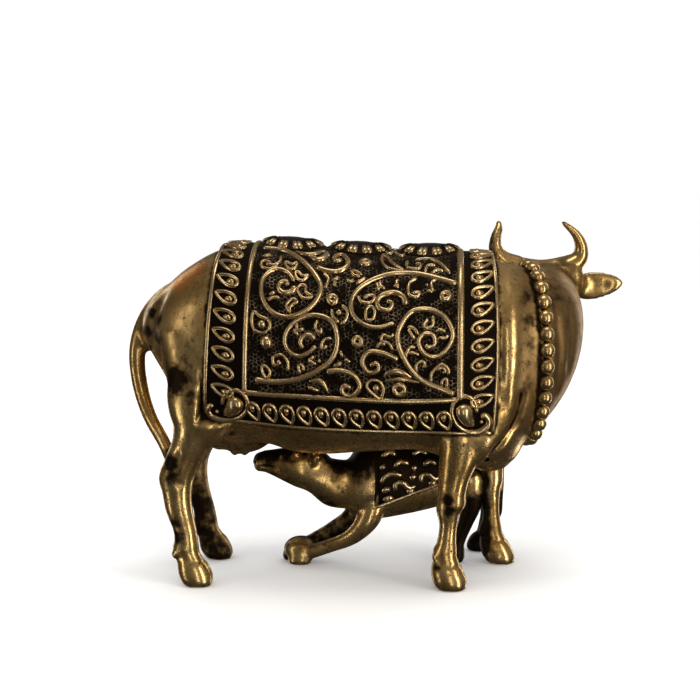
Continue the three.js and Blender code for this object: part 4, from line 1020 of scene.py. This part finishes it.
def carving(side):
    """All the raised work on one flank."""
    def lay(x, up, raised):
        """A place on this flank."""
        return on_cloth(x, up, raised, side)

    made = []
    for path in (way(row, 0.45) for row in VINES):
        made.append(ridge(lay, path, np.linspace(1.75, 1.3, len(path)), 1.05))
    made += [ridge(lay, way(row), 1.05, 0.85, corners=6) for row in SPRIGS]
    for width, row in LEAVES:
        path = way(row)
        made.append(ridge(lay, path, width * swell(len(path)), 0.95 * swell(len(path)), blunt=0))
    made += [ridge(lay, closed_way(row), 1.0, 0.85, loop=True, corners=6) for row in COMMAS]
    made += [ridge(lay, circle(*ring), 1.55, 1.1, loop=True) for ring in RINGS]
    made += [boss(lay, x, up, r, 0.75 * r + 0.3) for x, up, r in BOSSES]
    made += upright_border(lay, x=4.9, tip=177, hook=-1.25, first=8.9, leaning=0.6)
    made += upright_border(lay, x=71, tip=3, hook=1.15, first=9.3, leaning=0)
    for x in 12.3 + HEM_PITCH * np.arange(HEM_DROPS):
        made += border_drop(lay, x, 4.3, tip=-83, hook=0.75, length=5.1, width=3.2)
    for rim, body, ball in MANGOES:
        path = way(rim, 0.35)
        tail = np.linspace(0, 1, len(path))
        widths = np.interp(tail, [0, 0.62, 0.8, 0.9, 1], [RIM_WIDTH, *TAIL_WIDTHS])
        made.append(ridge(lay, path, widths, np.interp(tail, [0, 0.6, 0.8, 1], [0.9, 0.9, 1.2, 0.9])))
        path = way(body, 0.35)
        widths = traced(np.array(BODY_WIDTHS)[:, None], len(path))[:, 0]
        mango, faces = ridge(lay, path, widths, 0.5 + 0.42 * widths, corners=11, blunt=1.6)
        mango[:, 3] = np.clip(2.2 * mango[:, 3], 0, 1)  # rubbed bright nearly all over
        made += [(mango, faces), boss(lay, *ball, 0.6, 0.9)]
    line = np.linspace(0, 1, 110)[:, None]
    frame_foot, hem_rim = (np.array(start) + line * reach for start, reach in (FRAME_FOOT, HEM_RIM))
    return made + [ridge(lay, frame_foot, 1.5, 0.9, corners=8), ridge(lay, hem_rim, 1.0, 0.65)]


def hoop(x, width, height, low=0.3, leaning=0.0):
    """A raised line right over the back, from a height above one hem to the same above the other."""
    reach = 2 * flank_at(x)
    up = np.linspace(low, reach - low, 230)
    path = np.stack([x + leaning * slant(np.minimum(up, reach - up), x), up], -1)
    return ridge(on_cloth, path, width, height, corners=8)


LOTUS_RADIUS, LOTUS_DOME, LOTUS_RING = 9.2, 2.1, 1.6
PETALS, PETAL_REACH = 12, [4.4, 7.4, 8.6]  # how far out a petal starts, is widest and ends
PETAL_WIDTHS = [0.7, 1.9, 1.8]  # of each half of a petal there
PETAL_HALVES = 0.075  # how far each half lies from the petal's middle line, over the distance out


def dome(r):
    """How high the lotus's dome stands at a distance from its middle: flat there, and steeper outwards."""
    return LOTUS_DOME * np.clip(1 - (r / LOTUS_RADIUS) ** 2.4, 0, 1)


def lotus(x):
    """A flower on the spine: a low dome, with petals round it that widen outwards, each in two halves
    with a groove between them, and a ring in the middle."""
    x = x - CLOTH_REAR
    up = flank_at(x)
    r, a = LOTUS_RADIUS * np.linspace(1, 0.02, 16)[:, None], full_turn(56)
    place = on_cloth(x + r * np.cos(a), up + r * np.sin(a), dome(r) + 0 * a)
    made = [skin(np.concatenate([place, np.zeros((*place.shape[:2], 1))], -1))]
    out = np.linspace(PETAL_REACH[0], PETAL_REACH[-1], 10)
    widths = np.interp(out, PETAL_REACH, PETAL_WIDTHS)
    lit = np.repeat(np.clip(out / 2.6 - 2.1, 0.02, 0.85), CORNERS)  # only the tips are rubbed bright
    for turn in (np.arange(PETALS) + 0.5) * 2 * np.pi / PETALS:
        for k in (-PETAL_HALVES, PETAL_HALVES):
            path = np.array([x, up]) + out[:, None] * [np.cos(turn + k), np.sin(turn + k)]
            petal, faces = ridge(on_cloth, path, widths, 0.5 + 0.5 * out / 9, dome(out), blunt=1.2)
            petal[:len(lit), 3] *= lit * (0.3 + 0.7 * abs(np.sin(turn)))  # least along the spine
            made.append((petal, faces))
    ring, faces = ridge(on_cloth, circle(x, up, LOTUS_RING), 0.9, 0.35, dome(LOTUS_RING), loop=True)
    return made + [(ring * [1, 1, 1, 0.4], faces)]


LOTUS_MIDDLE, LOTUS_PITCH = 3.0, 18.3
work = carving(NEAR) + carving(FAR)
work += [hoop(10.6, 1.5, 0.95, low=9.5, leaning=0.5), hoop(65.4, 2.0, 0.95, low=9.8)]  # the frame
work.append(hoop(CLOTH_LENGTH - 0.35, 1.0, 0.7, leaning=1))
rear_rim, faces = hoop(0.5, 1.2, 0.5, leaning=1)
work.append((rear_rim * [1, 1, 1, 0.55], faces))  # the rear rim is dull
work += [form for k in (-1, 0, 1) for form in lotus(LOTUS_MIDDLE + k * LOTUS_PITCH)]
work_points, work_faces = joined(work)
cloth_carving = piece("cloth_carving", work_points[:, :3], work_faces, crest=work_points[:, 3])
carved_brass = brass("carved_brass", ("crest", 0.6, 0.04), pitting=0.1, bump=0.3, pale=0.42)
cloth_carving.data.materials.append(carved_brass)
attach(cloth_carving, "root")


# The garland
# Oval beads side by side on a cord, cast round the root of the neck.

BEAD_PITCH, BEAD = 4.3, [2.0, 1.7, 2.05]  # half sizes along the neck, out from it, and along the cord
CORD, CORD_SUNK, OUT = 0.9, 0.8, 0.5  # radius, how far it lies inside the beads' middles, and they outside

# How far out the skin lies is felt near the collar's plane in slots of the turn, then evened over steps.
NEAR_PLANE, SLOTS, EVENED = 0.7, 72, 60
collar, (forward, across, above) = np.array(COLLAR[:3]), heading(COLLAR[3], COLLAR[4])
from_collar = points - collar
near_collar = from_collar[(np.abs(from_collar @ forward) < NEAR_PLANE) & (points[:, 2] > KNEE)]
body_turn = np.arctan2(near_collar @ above, near_collar @ across)
body_reach = np.hypot(near_collar @ above, near_collar @ across)
slot = np.round((body_turn + np.pi) / (2 * np.pi) * SLOTS).astype(int) % SLOTS
felt = [np.median(np.sort(body_reach[slot == k])[-3:]) if (slot == k).any() else 0 for k in range(SLOTS)]
turn = np.linspace(-np.pi, np.pi, 1500)
reach = np.interp((turn + np.pi) / (2 * np.pi) * SLOTS, np.arange(SLOTS + 1), felt + felt[:1])
ellipse = 1 / np.hypot(np.cos(turn) / COLLAR[5], np.sin(turn) / COLLAR[6])
reach = np.clip(reach, ellipse - 0.5, ellipse + 1.6)
reach = np.concatenate([reach[-EVENED - 1:-1], reach, reach[1:EVENED + 1]])
reach = np.convolve(reach, np.ones(2 * EVENED + 1) / (2 * EVENED + 1), "valid") + OUT
string = collar + (across * np.cos(turn)[:, None] + above * np.sin(turn)[:, None]) * reach[:, None]
shadow_behind_beads = 1.1 * bell(away(points, string - 1.9 * forward), 1.25)  # painted shadow, with patina, lies thick behind the beads
cow_body.data.attributes["stain"].data.foreach_set("value", np.maximum(stain, shadow_behind_beads).astype(np.float32))
length = run_of(string)[-1]
bead_count = round(length / BEAD_PITCH)
places = reached(string, (np.arange(bead_count) + 0.5) / bead_count * length)
ways = unit(np.roll(places, -1, 0) - np.roll(places, 1, 0))
outward = np.cross(ways, forward)
outward *= np.sign((outward * (places - collar)).sum(1))[:, None]
beads = [pebble(place, BEAD, [forward, *axes], 13, 18) for place, *axes in zip(places, outward, ways)]
# Each bead is darker on its side towards the neck, and the cord all through: patina in the crevice and
# painted shade.
depth = [1 - unit(bead - bead.mean(0)) @ out for (bead, _), out in zip(beads, outward)]
cord = string[:-1:6] - CORD_SUNK * unit(string[:-1:6] - collar)
cord_rings = rings_of(cord, np.broadcast_to(forward, cord.shape) * CORD, unit(cord - collar) * CORD, 8)
beads.append(skin(cord_rings, loop=True))
bead_points, bead_faces = joined(beads)
bead_patina_and_shade = np.concatenate([*depth, np.full(len(beads[-1][0]), 2.0)])
garland = piece("garland", bead_points, bead_faces, recess=bead_patina_and_shade)
garland.data.materials.append(brass("bead_brass", ("recess", 0.75, 1.35), pitting=0.1, bump=0.2, pale=0.15))
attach(garland, "root")


# The calf
# A second casting, kneeling under the cow to drink: body, neck, head, folded forelegs and hind legs.
# It is brazed to her belly, and the patina lies thick on it because no hand can rub it there; painted shade
# and a painted shadow of her belly darken it more.

CALF_YAW = 19
CALF_TRUNK = np.array([
    # [x, y, z, half width, half height] from the breast to the rump
    [-4, 6.4, 22.6, 2.6, 4.4], [-1, 7.6, 22.6, 5, 7], [5, 9.8, 24.4, 7.2, 11.6],
    [15, 13.2, 24.8, 7.8, 11.2], [25, 16.8, 25.6, 8, 10.2], [33, 19.8, 26.6, 7.2, 9.2],
    [38.4, 21.8, 27, 4.8, 6.4], [40.4, 22.5, 27, 1.6, 2],
])
CALF_HEAD = [
    # [x, y, z, yaw, pitch, half width, half height] from inside the shoulders to the muzzle
    [3, 9, 23.4, 14, -16, 5.4, 8], [-4, 7.2, 23.4, 14, -24, 4.6, 7], [-9.5, 6, 26, 10, -26, 4.1, 5.5],
    [-14, 5.2, 28.2, 8, -20, 4.7, 5.7], [-18.5, 4.6, 29.3, 6, -18, 4, 4.6],
    [-22.4, 4.2, 29.9, 5, -16, 3.1, 3.4], [-25, 4, 30, 5, -14, 2.9, 2.8], [-26.4, 3.9, 30, 5, -14, 1.7, 1.6],
]
CALF_LEGS = [
    # rows of [x, y, z, radius], and where the hoof stands: near and far foreleg, near and far hind leg
    ([[6.6, 7.8, 19.5, 4], [4.6, 6.4, 13.4, 3.3], [0.2, 6.4, 8.4, 2.3], [-6, 7.4, 5.4, 1.9],
      [-12.4, 8.4, 3, 2]], [-14.6, 8.8]),
    ([[4, 12.4, 20, 4], [0, 12.6, 12.8, 2.9], [-5.4, 13, 8.8, 2.3], [-10.6, 13.2, 5.8, 2],
      [-15, 13.2, 3.2, 2]], [-16.6, 13.2]),
    ([[33, 14, 23, 4.6], [33.4, 13.4, 16.6, 3], [32, 13.4, 11.6, 2.2], [30.4, 13.4, 7, 1.8],
      [29.4, 13.4, 4, 1.9]], [28.2, 13.4]),
    ([[36, 25, 23, 4.6], [38.6, 26.2, 16.6, 3], [38.6, 26.8, 11.6, 2.2], [37.6, 27, 7, 1.8],
      [37, 27, 4, 1.9]], [35.8, 27]),
]
CALF_HOOF = [  # [z, back from the toe, half length, half width]
    [5, 1, 2.2, 2], [3.4, 0.4, 3, 2.6], [1.2, 0, 3.4, 2.8], [0, 0, 2.9, 2.5],
]
CALF_TAIL = [  # [x, y, z, radius]
    [39, 22, 31, 1.4], [41.4, 23.2, 28, 1.3], [42, 23.8, 22, 1.1], [41.6, 24.2, 16, 1.2], [41, 24.2, 12, 1.6],
    [40.6, 24, 8.6, 0.7],
]
CALF_EARS = [([-11, 3.2, 30], [0.45, -0.8, 0.42]), ([-11, 8.2, 30], [0.45, 0.8, 0.42])]  # roots and headings
CALF_EAR = [  # [along, half width, half thickness]
    [0, 1.0, 0.9], [1.2, 1.5, 0.95], [2.8, 2.0, 0.85], [4.4, 1.4, 0.75], [5.6, 0.4, 0.4],
]
EAR_UPRIGHT = np.array([0.2, 0, 1])
CALF_CAST = [
    # [centre], [half sizes]
    ([-14.6, 11, 3.6], [4.8, 4.8, 3.5]),  # the metal that joins the forefeet
    ([-8.6, 5.9, 28.4], [3.6, 3, 3.8]),  # nape
    ([-15, 2.4, 32], [1.3, 1.0, 1.5]), ([-15, 7.4, 32], [1.3, 1.0, 1.5]),  # brows
    ([-10.6, 3, 31.8], [1.3, 1.0, 1.5]), ([-10.6, 8.6, 31.8], [1.3, 1.0, 1.5]),  # horn buds
    ([-25, 4, 29.7], [2.1, 3.3, 2.7]),  # muzzle
    ([-12.5, 3.4, 26.8], [3.6, 2.2, 3.2]), ([-12.5, 7.4, 26.8], [3.6, 2.2, 3.2]),  # jaws
    ([32.5, 14, 22], [5.2, 4, 6.4]), ([36, 24, 22], [5, 4, 6.4]),  # thighs
]


def calf_hoof(x, y):
    """Level rings down a hoof."""
    z, back, length, width = traced(CALF_HOOF, 16).T
    return level(x + back, 0 * z + y, z, length, width, 28, 2.3)


calf_trunk = headed(np.insert(CALF_TRUNK, [3, 3], [CALF_YAW, 0], axis=1))
forms = [calf_trunk, headed(CALF_HEAD), bar(CALF_TAIL)]
forms += [leaf(traced(CALF_EAR, 24), root, unit(np.array(way)), EAR_UPRIGHT, 20) for root, way in CALF_EARS]
forms += [form for rows, foot in CALF_LEGS for form in (bar(rows), calf_hoof(*foot))]
forms += [pebble(*swelling) for swelling in CALF_CAST]
calf_points, calf_squares = one_skin(forms, cell=0.42)
calf_edges = edges_of(calf_squares)
calf_points = filled(calf_points, calf_squares, calf_edges, rounds=10)
calf_normal = facing(calf_points, calf_squares)

# Marks on the near side of its face as rows of [x, y, z], and creases as rows of [x, z], both with their
# depth and width.
CALF_FACE = [
    ([[-27.4, 3.4, 28.8], [-25.6, 1.6, 28.9], [-22.6, 1.2, 28.6], [-20.6, 1, 28.3]], -0.5, 0.45),  # the mouth
    ([[-27.2, 2.8, 31.2], [-26.4, 2.2, 31.4]], -0.5, 0.5),  # the nostril
    ([[-18.4, 1.2, 31.2], [-17.2, 0.8, 31.4], [-16, 0.6, 31.2]], -0.5, 0.8),  # the eye's socket
    ([[-19.2, 1.4, 32], [-17.2, 1.4, 33], [-15, 1, 32.4]], 0.35, 0.6),  # the brow over it
]
CALF_CREASES = [
    ([[-8.6, 30.6], [-9.6, 26.4], [-8.4, 22.4]], -0.35, 0.9),  # behind the jaw
    ([[3.6, 31], [2.4, 24], [2.8, 18]], -0.3, 0.9),  # before the shoulder
]


def on_face(rows, side):
    """Rows drawn on the near side of the head, or turned over its middle plane to the far side."""
    x, y, z = np.array(rows).T
    middle = 4.2 + 0.066 * (x + 22.5)
    return np.stack([x, y if side == NEAR else 2 * middle - y, z], -1)


pressed = np.zeros(len(calf_points))
for side in SIDES:
    for rows, depth, width in CALF_FACE:
        pressed += mark(calf_points, on_face(rows, side), depth, width)
    for crease in CALF_CREASES:
        pressed += side_mark(calf_points, calf_normal, side, *crease)
for _, (x, y) in CALF_LEGS[2:]:  # the hind feet are cloven, and the forefeet are lumped together
    cleft = [[x - 0.6, y, 4], [x - 2.6, y, 2.8], [x - 3.1, y, 1.2], [x - 2.8, y, 0]]
    pressed += mark(calf_points, cleft, -0.3, 0.45)
calf_points = calf_points + calf_normal * pressed[:, None]
calf_points[:, 2] = np.maximum(calf_points[:, 2], 0)
calf_normal = facing(calf_points, calf_squares)
calf_recess = hollows(calf_points, calf_squares, calf_edges, rounds=12)

# Its patina and painted shade: dark all over, a painted shadow of her belly along the nose, brow and nape and
# over the withers, painted shade on its undersides and far side, and darker on the far foreleg and low on the
# hind legs.
DARK_RIDGE = [
    [-26.4, 3.6, 31.6], [-22, 4, 33], [-17, 4.4, 34.4], [-11, 5, 33.6], [-5, 6, 30.5], [1, 7, 31.5],
]
HIGHLIGHT_BUMPS = [[-15, 1.8, 32.4], [-10.6, 2.4, 32.2], [-25.2, 1.4, 29]]  # bumps on the brow, the bud and the lip, left light as painted highlights
x, y, z = calf_points.T
far_fore = (x < 5) & (z < 16)
calf_stain = 0.3 + 0.2 * np.clip(-calf_normal[:, 2], 0, 1) + 0.3 * np.clip(calf_normal[:, 1], 0, 1)
calf_stain += 0.55 * fade(x, -6, 2) * fade(z, 22, 28) + 0.7 * fade(x, 24, 27) * fade(z, 22, 18)
calf_stain += 1.3 * bell(away(calf_points, DARK_RIDGE), 4.2) + far_fore * (0.15 + 0.4 * fade(y, 9.4, 10.9))
for bump in HIGHLIGHT_BUMPS:
    calf_stain -= 0.8 * bell(np.linalg.norm(calf_points - bump, axis=1), 1.1)
calf_body = piece("calf_body", calf_points, calf_squares, recess=calf_recess, stain=calf_stain)
calf_brass = brass("calf_brass", ("recess", 0.02, 0.18), pitting=0.6, age=0.1)
calf_body.data.materials.append(calf_brass)
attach(calf_body, "root")
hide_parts("calf")

CALF_EYES = [[-17.2, 1.2, 31.3], [-17.2, 7.7, 31.3]]
calf_eyes = piece("calf_eyes", *joined([pebble(place, [0.7, 0.5, 0.55]) for place in CALF_EYES]), stain=0.95)
calf_eyes.data.materials.append(calf_brass)
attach(calf_eyes, "root")


# The calf's blanket
# Cast with the calf: a smaller cloth over its back, black in its ground, with bold curls and a rim.
# It is laid out in millimetres by the place along the trunk's x and by height.

BLANKET, BLANKET_FRONT, BLANKET_REAR = 0.7, 4.4, 31.0
CALF_STATIONS = traced(CALF_TRUNK, 600)


def on_calf(x, turn, grow):
    """A place on the calf's trunk: the ellipse of the station at x, turned from its spine to its left."""
    y, z, width, height = (np.interp(x, CALF_STATIONS[:, 0], column) for column in CALF_STATIONS.T[1:])
    side, up = (width + grow) * np.sin(turn), (height + grow) * np.cos(turn)
    _, left, _ = heading(CALF_YAW, 0)
    return np.stack(np.broadcast_arrays(x + left[0] * side, y + left[1] * side, z + up), -1)


def blanket_hem(x):
    """The height of the blanket's lower edge, which rises to the rear and levels out there as a parabola."""
    return 16.6 + 0.37 * (x - BLANKET_FRONT) - 0.012 * np.maximum(x - 16, 0) ** 2


def turn_at(x, z):
    """How far round the trunk the height z is reached."""
    middle, height = (np.interp(x, CALF_STATIONS[:, 0], CALF_STATIONS[:, k]) for k in (2, 4))
    return np.arccos(np.clip((z - middle) / (height + BLANKET), -1, 1))


along = np.linspace(BLANKET_FRONT, BLANKET_REAR, 50)[:, None]
reach = turn_at(along, blanket_hem(along))
upper, under = (on_calf(along, np.linspace(-1, 1, 70) * reach, BLANKET + r) for r in (0.0, -1.6))
calf_blanket = piece("calf_blanket", *skin(np.concatenate([upper, under[:, ::-1]], axis=1)), stain=0.85)
calf_blanket.data.materials.append(brass("blanket_ground", ("none", -1.0, -0.5), bump=0.6))
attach(calf_blanket, "root")

# Curls as [x, z] points on the side of the blanket.
CURLS = [
    [[5.8, 24.2], [6.6, 26], [8.6, 26.9], [11.7, 26.2]],
    [[9.6, 21.9], [9.6, 24], [11.4, 24.3], [13.2, 22.8], [15.2, 23.4]], [[13.4, 25], [15.2, 26.6]],
    [[5.4, 28.2], [7.2, 29.4]], [[6, 21.6], [7.2, 22.8], [8.4, 22.2]],
    [[6.4, 19.2], [7.6, 20.2], [9.4, 19.9]], [[16.6, 24], [16.6, 26], [18.4, 26.3], [20.2, 25], [22, 25.8]],
    [[17.2, 28.6], [18.8, 29.8], [21, 28.8]], [[9.4, 28.6], [11, 30], [13.6, 29.2]],
    [[23.4, 26], [23.2, 27.8], [25, 28.2], [26.8, 26.8], [28.6, 27.4]],
    [[23.6, 30.2], [25.4, 31.2], [27.6, 30.4]], [[12.6, 21.4], [13.8, 22], [14.8, 21.6]],
    [[18.4, 23.4], [19.6, 24], [20.8, 23.8]], [[15.6, 29], [14.6, 28], [15.4, 27.6]],
    [[6.2, 31.4], [8.2, 32.6], [10.4, 31.8]], [[14.6, 31.6], [16.6, 32.6], [18.8, 31.8]],
    [[21.4, 32], [23, 32.8], [25, 32.4]],
]
RIM_IN = 0.5  # how far the rims lie in from the blanket's ends
work = []
for side in SIDES:
    def lay(x, z, raised):
        """A place on the blanket's side, from x along the trunk and height."""
        return on_calf(x, side * turn_at(x, z), BLANKET + raised)

    for row in CURLS:
        path = way(row)
        fat = swell(len(path))
        work.append(ridge(lay, path, 0.9 + 0.95 * fat, 0.6 + 0.6 * fat, corners=8))
    line = np.linspace(0, 1, 60)[:, None]
    hem_path = BLANKET_FRONT + 0.2 + line * (BLANKET_REAR - BLANKET_FRONT - 0.4)
    work.append(ridge(lay, np.concatenate([hem_path, blanket_hem(hem_path) + 0.7], axis=1), 1.1, 0.85))
for x in (BLANKET_FRONT + RIM_IN, BLANKET_REAR - RIM_IN):
    height = np.interp(x, CALF_STATIONS[:, 0], CALF_STATIONS[:, 4])

    def over_back(x, run, raised):
        """A place over its back, from x along the trunk and the run round it."""
        return on_calf(x, run / height, BLANKET + raised)

    bend = np.linspace(-1, 1, 80) * turn_at(x, blanket_hem(x) + 0.6)
    rim, faces = ridge(over_back, np.stack([x + 0 * bend, bend * height], -1), 0.95, 0.7)
    rim[:, 3] *= 0.25 + 0.75 * fade(rim[:, 2], 24, 18)  # darker higher up, a painted shade under her belly
    work.append((rim, faces))
curl_points, curl_faces = joined(work)
blanket_carving = piece("blanket_carving", curl_points[:, :3], curl_faces, crest=curl_points[:, 3], stain=0.1)
blanket_brass = brass("blanket_brass", ("crest", 0.9, 0.35), pitting=0.2, age=0.15, bump=0.25, pale=0.6)
blanket_carving.data.materials.append(blanket_brass)
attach(blanket_carving, "root")


# The stage
# A white floor without an edge, a soft white room, and lamps from the front and the right.

from mathutils import Vector

FLOOR_HALF, FLOOR_GAP = 30.0, 0.0002  # metres: half its side, and how far it lies below the hooves
scene = bpy.context.scene
scene.view_settings.view_transform = "Standard"
floor_mesh = bpy.data.meshes.new("floor")
corners = [(x * FLOOR_HALF, y * FLOOR_HALF, -FLOOR_GAP) for x, y in ((-1, -1), (1, -1), (1, 1), (-1, 1))]
floor_mesh.from_pydata(corners, [], [(0, 1, 2, 3)])
floor = bpy.data.objects.new("floor", floor_mesh)
scene.collection.objects.link(floor)

# The brass mirrors a dimmer room than the white one that the camera sees, and looks through the floor to
# the lower halves of the tall lamps, as it does on a sheet of glass in a light tent.
floor_paint = bpy.data.materials.new("floor_paint")
wire = emptied(floor_paint)
ray = wire("LightPath").outputs
passing = wire.most(ray["Is Glossy Ray"], ray["Is Shadow Ray"])
white = wire("BsdfDiffuse", {"Color": (0.9, 0.9, 0.9, 1)}).outputs[0]
clear = wire("BsdfTransparent").outputs[0]
wire("OutputMaterial", {"Surface": wire("MixShader", {0: passing, 1: white, 2: clear}).outputs[0]})
floor.data.materials.append(floor_paint)

ROOM_BELOW, ROOM_ABOVE, UNLIT = (0.02, 0.016, 0.012), (0.27, 0.24, 0.20), (0, 0, 0)
studio = bpy.data.worlds.new("studio")
scene.world = studio
wire = emptied(studio)
toward = wire("SeparateXYZ", {0: wire("TexCoord").outputs["Generated"]}).outputs
room = wire.mix(wire.ramp(toward["Z"], -0.7, 0.8), ROOM_BELOW, ROOM_ABOVE)
room = wire.mix(wire.ramp(toward["X"], 0.7, -0.9), room, wire.mix(0.55, room, UNLIT))  # darker to the left
plain = wire("Background", {"Color": (1, 1, 1, 1), "Strength": 1.12}).outputs[0]
dim = wire("Background", {"Color": room}).outputs[0]
glossy = wire("LightPath").outputs["Is Glossy Ray"]
wire("OutputWorld", {"Surface": wire("MixShader", {0: glossy, 1: plain, 2: dim}).outputs[0]})


def softbox(name, place, size, power, colour=(1, 0.95, 0.86)):
    """An area light at a place in metres, turned to face the statue's middle."""
    light = bpy.data.lights.new(name, "AREA")
    light.shape, light.size, light.size_y = "RECTANGLE", *size
    light.energy, light.color = power, colour
    made = bpy.data.objects.new(name, light)
    made.location, made.visible_camera = place, False
    from_middle = Vector(place) - Vector((0, 0, min(0.05, place[2])))
    made.rotation_euler = from_middle.to_track_quat("Z", "Y").to_euler()
    scene.collection.objects.link(made)


softbox("key", (0.62, -0.46, 0.04), (0.11, 0.95), 2.4)
softbox("fill", (-0.66, -0.36, 0.04), (0.09, 0.9), 0.9)
softbox("front", (0.16, -0.80, 0.02), (0.07, 0.8), 0.7)
softbox("top", (0.05, -0.10, 0.85), (0.5, 0.3), 1.6)
softbox("behind", (0.5, 0.62, 0.04), (0.12, 0.9), 1.2)
softbox("behind_left", (-0.5, 0.6, 0.04), (0.12, 0.9), 0.9)

# The camera stands 380 mm from the statue's middle, 6.5 degrees above it and 3.5 degrees round.
DISTANCE, ELEVATION, AZIMUTH, AIM = 380, 6.5, 3.5, np.array([0, 0, 61.4])
SEEN, SENSOR = 0.27 * 700, 36  # mm across the picture at the statue, for 700 pixels, and across the sensor
camera = bpy.data.objects.new("camera", bpy.data.cameras.new("camera"))
a, e = np.radians([AZIMUTH, ELEVATION])
back = np.array([np.sin(a) * np.cos(e), -np.cos(a) * np.cos(e), np.sin(e)])
camera.location = (AIM + back * DISTANCE - MIDDLE) * MM
camera.rotation_euler = Vector(back).to_track_quat("Z", "Y").to_euler()
camera.data.sensor_width, camera.data.lens, camera.data.clip_start = SENSOR, SENSOR * DISTANCE / SEEN, 0.01
scene.collection.objects.link(camera)
scene.camera = camera
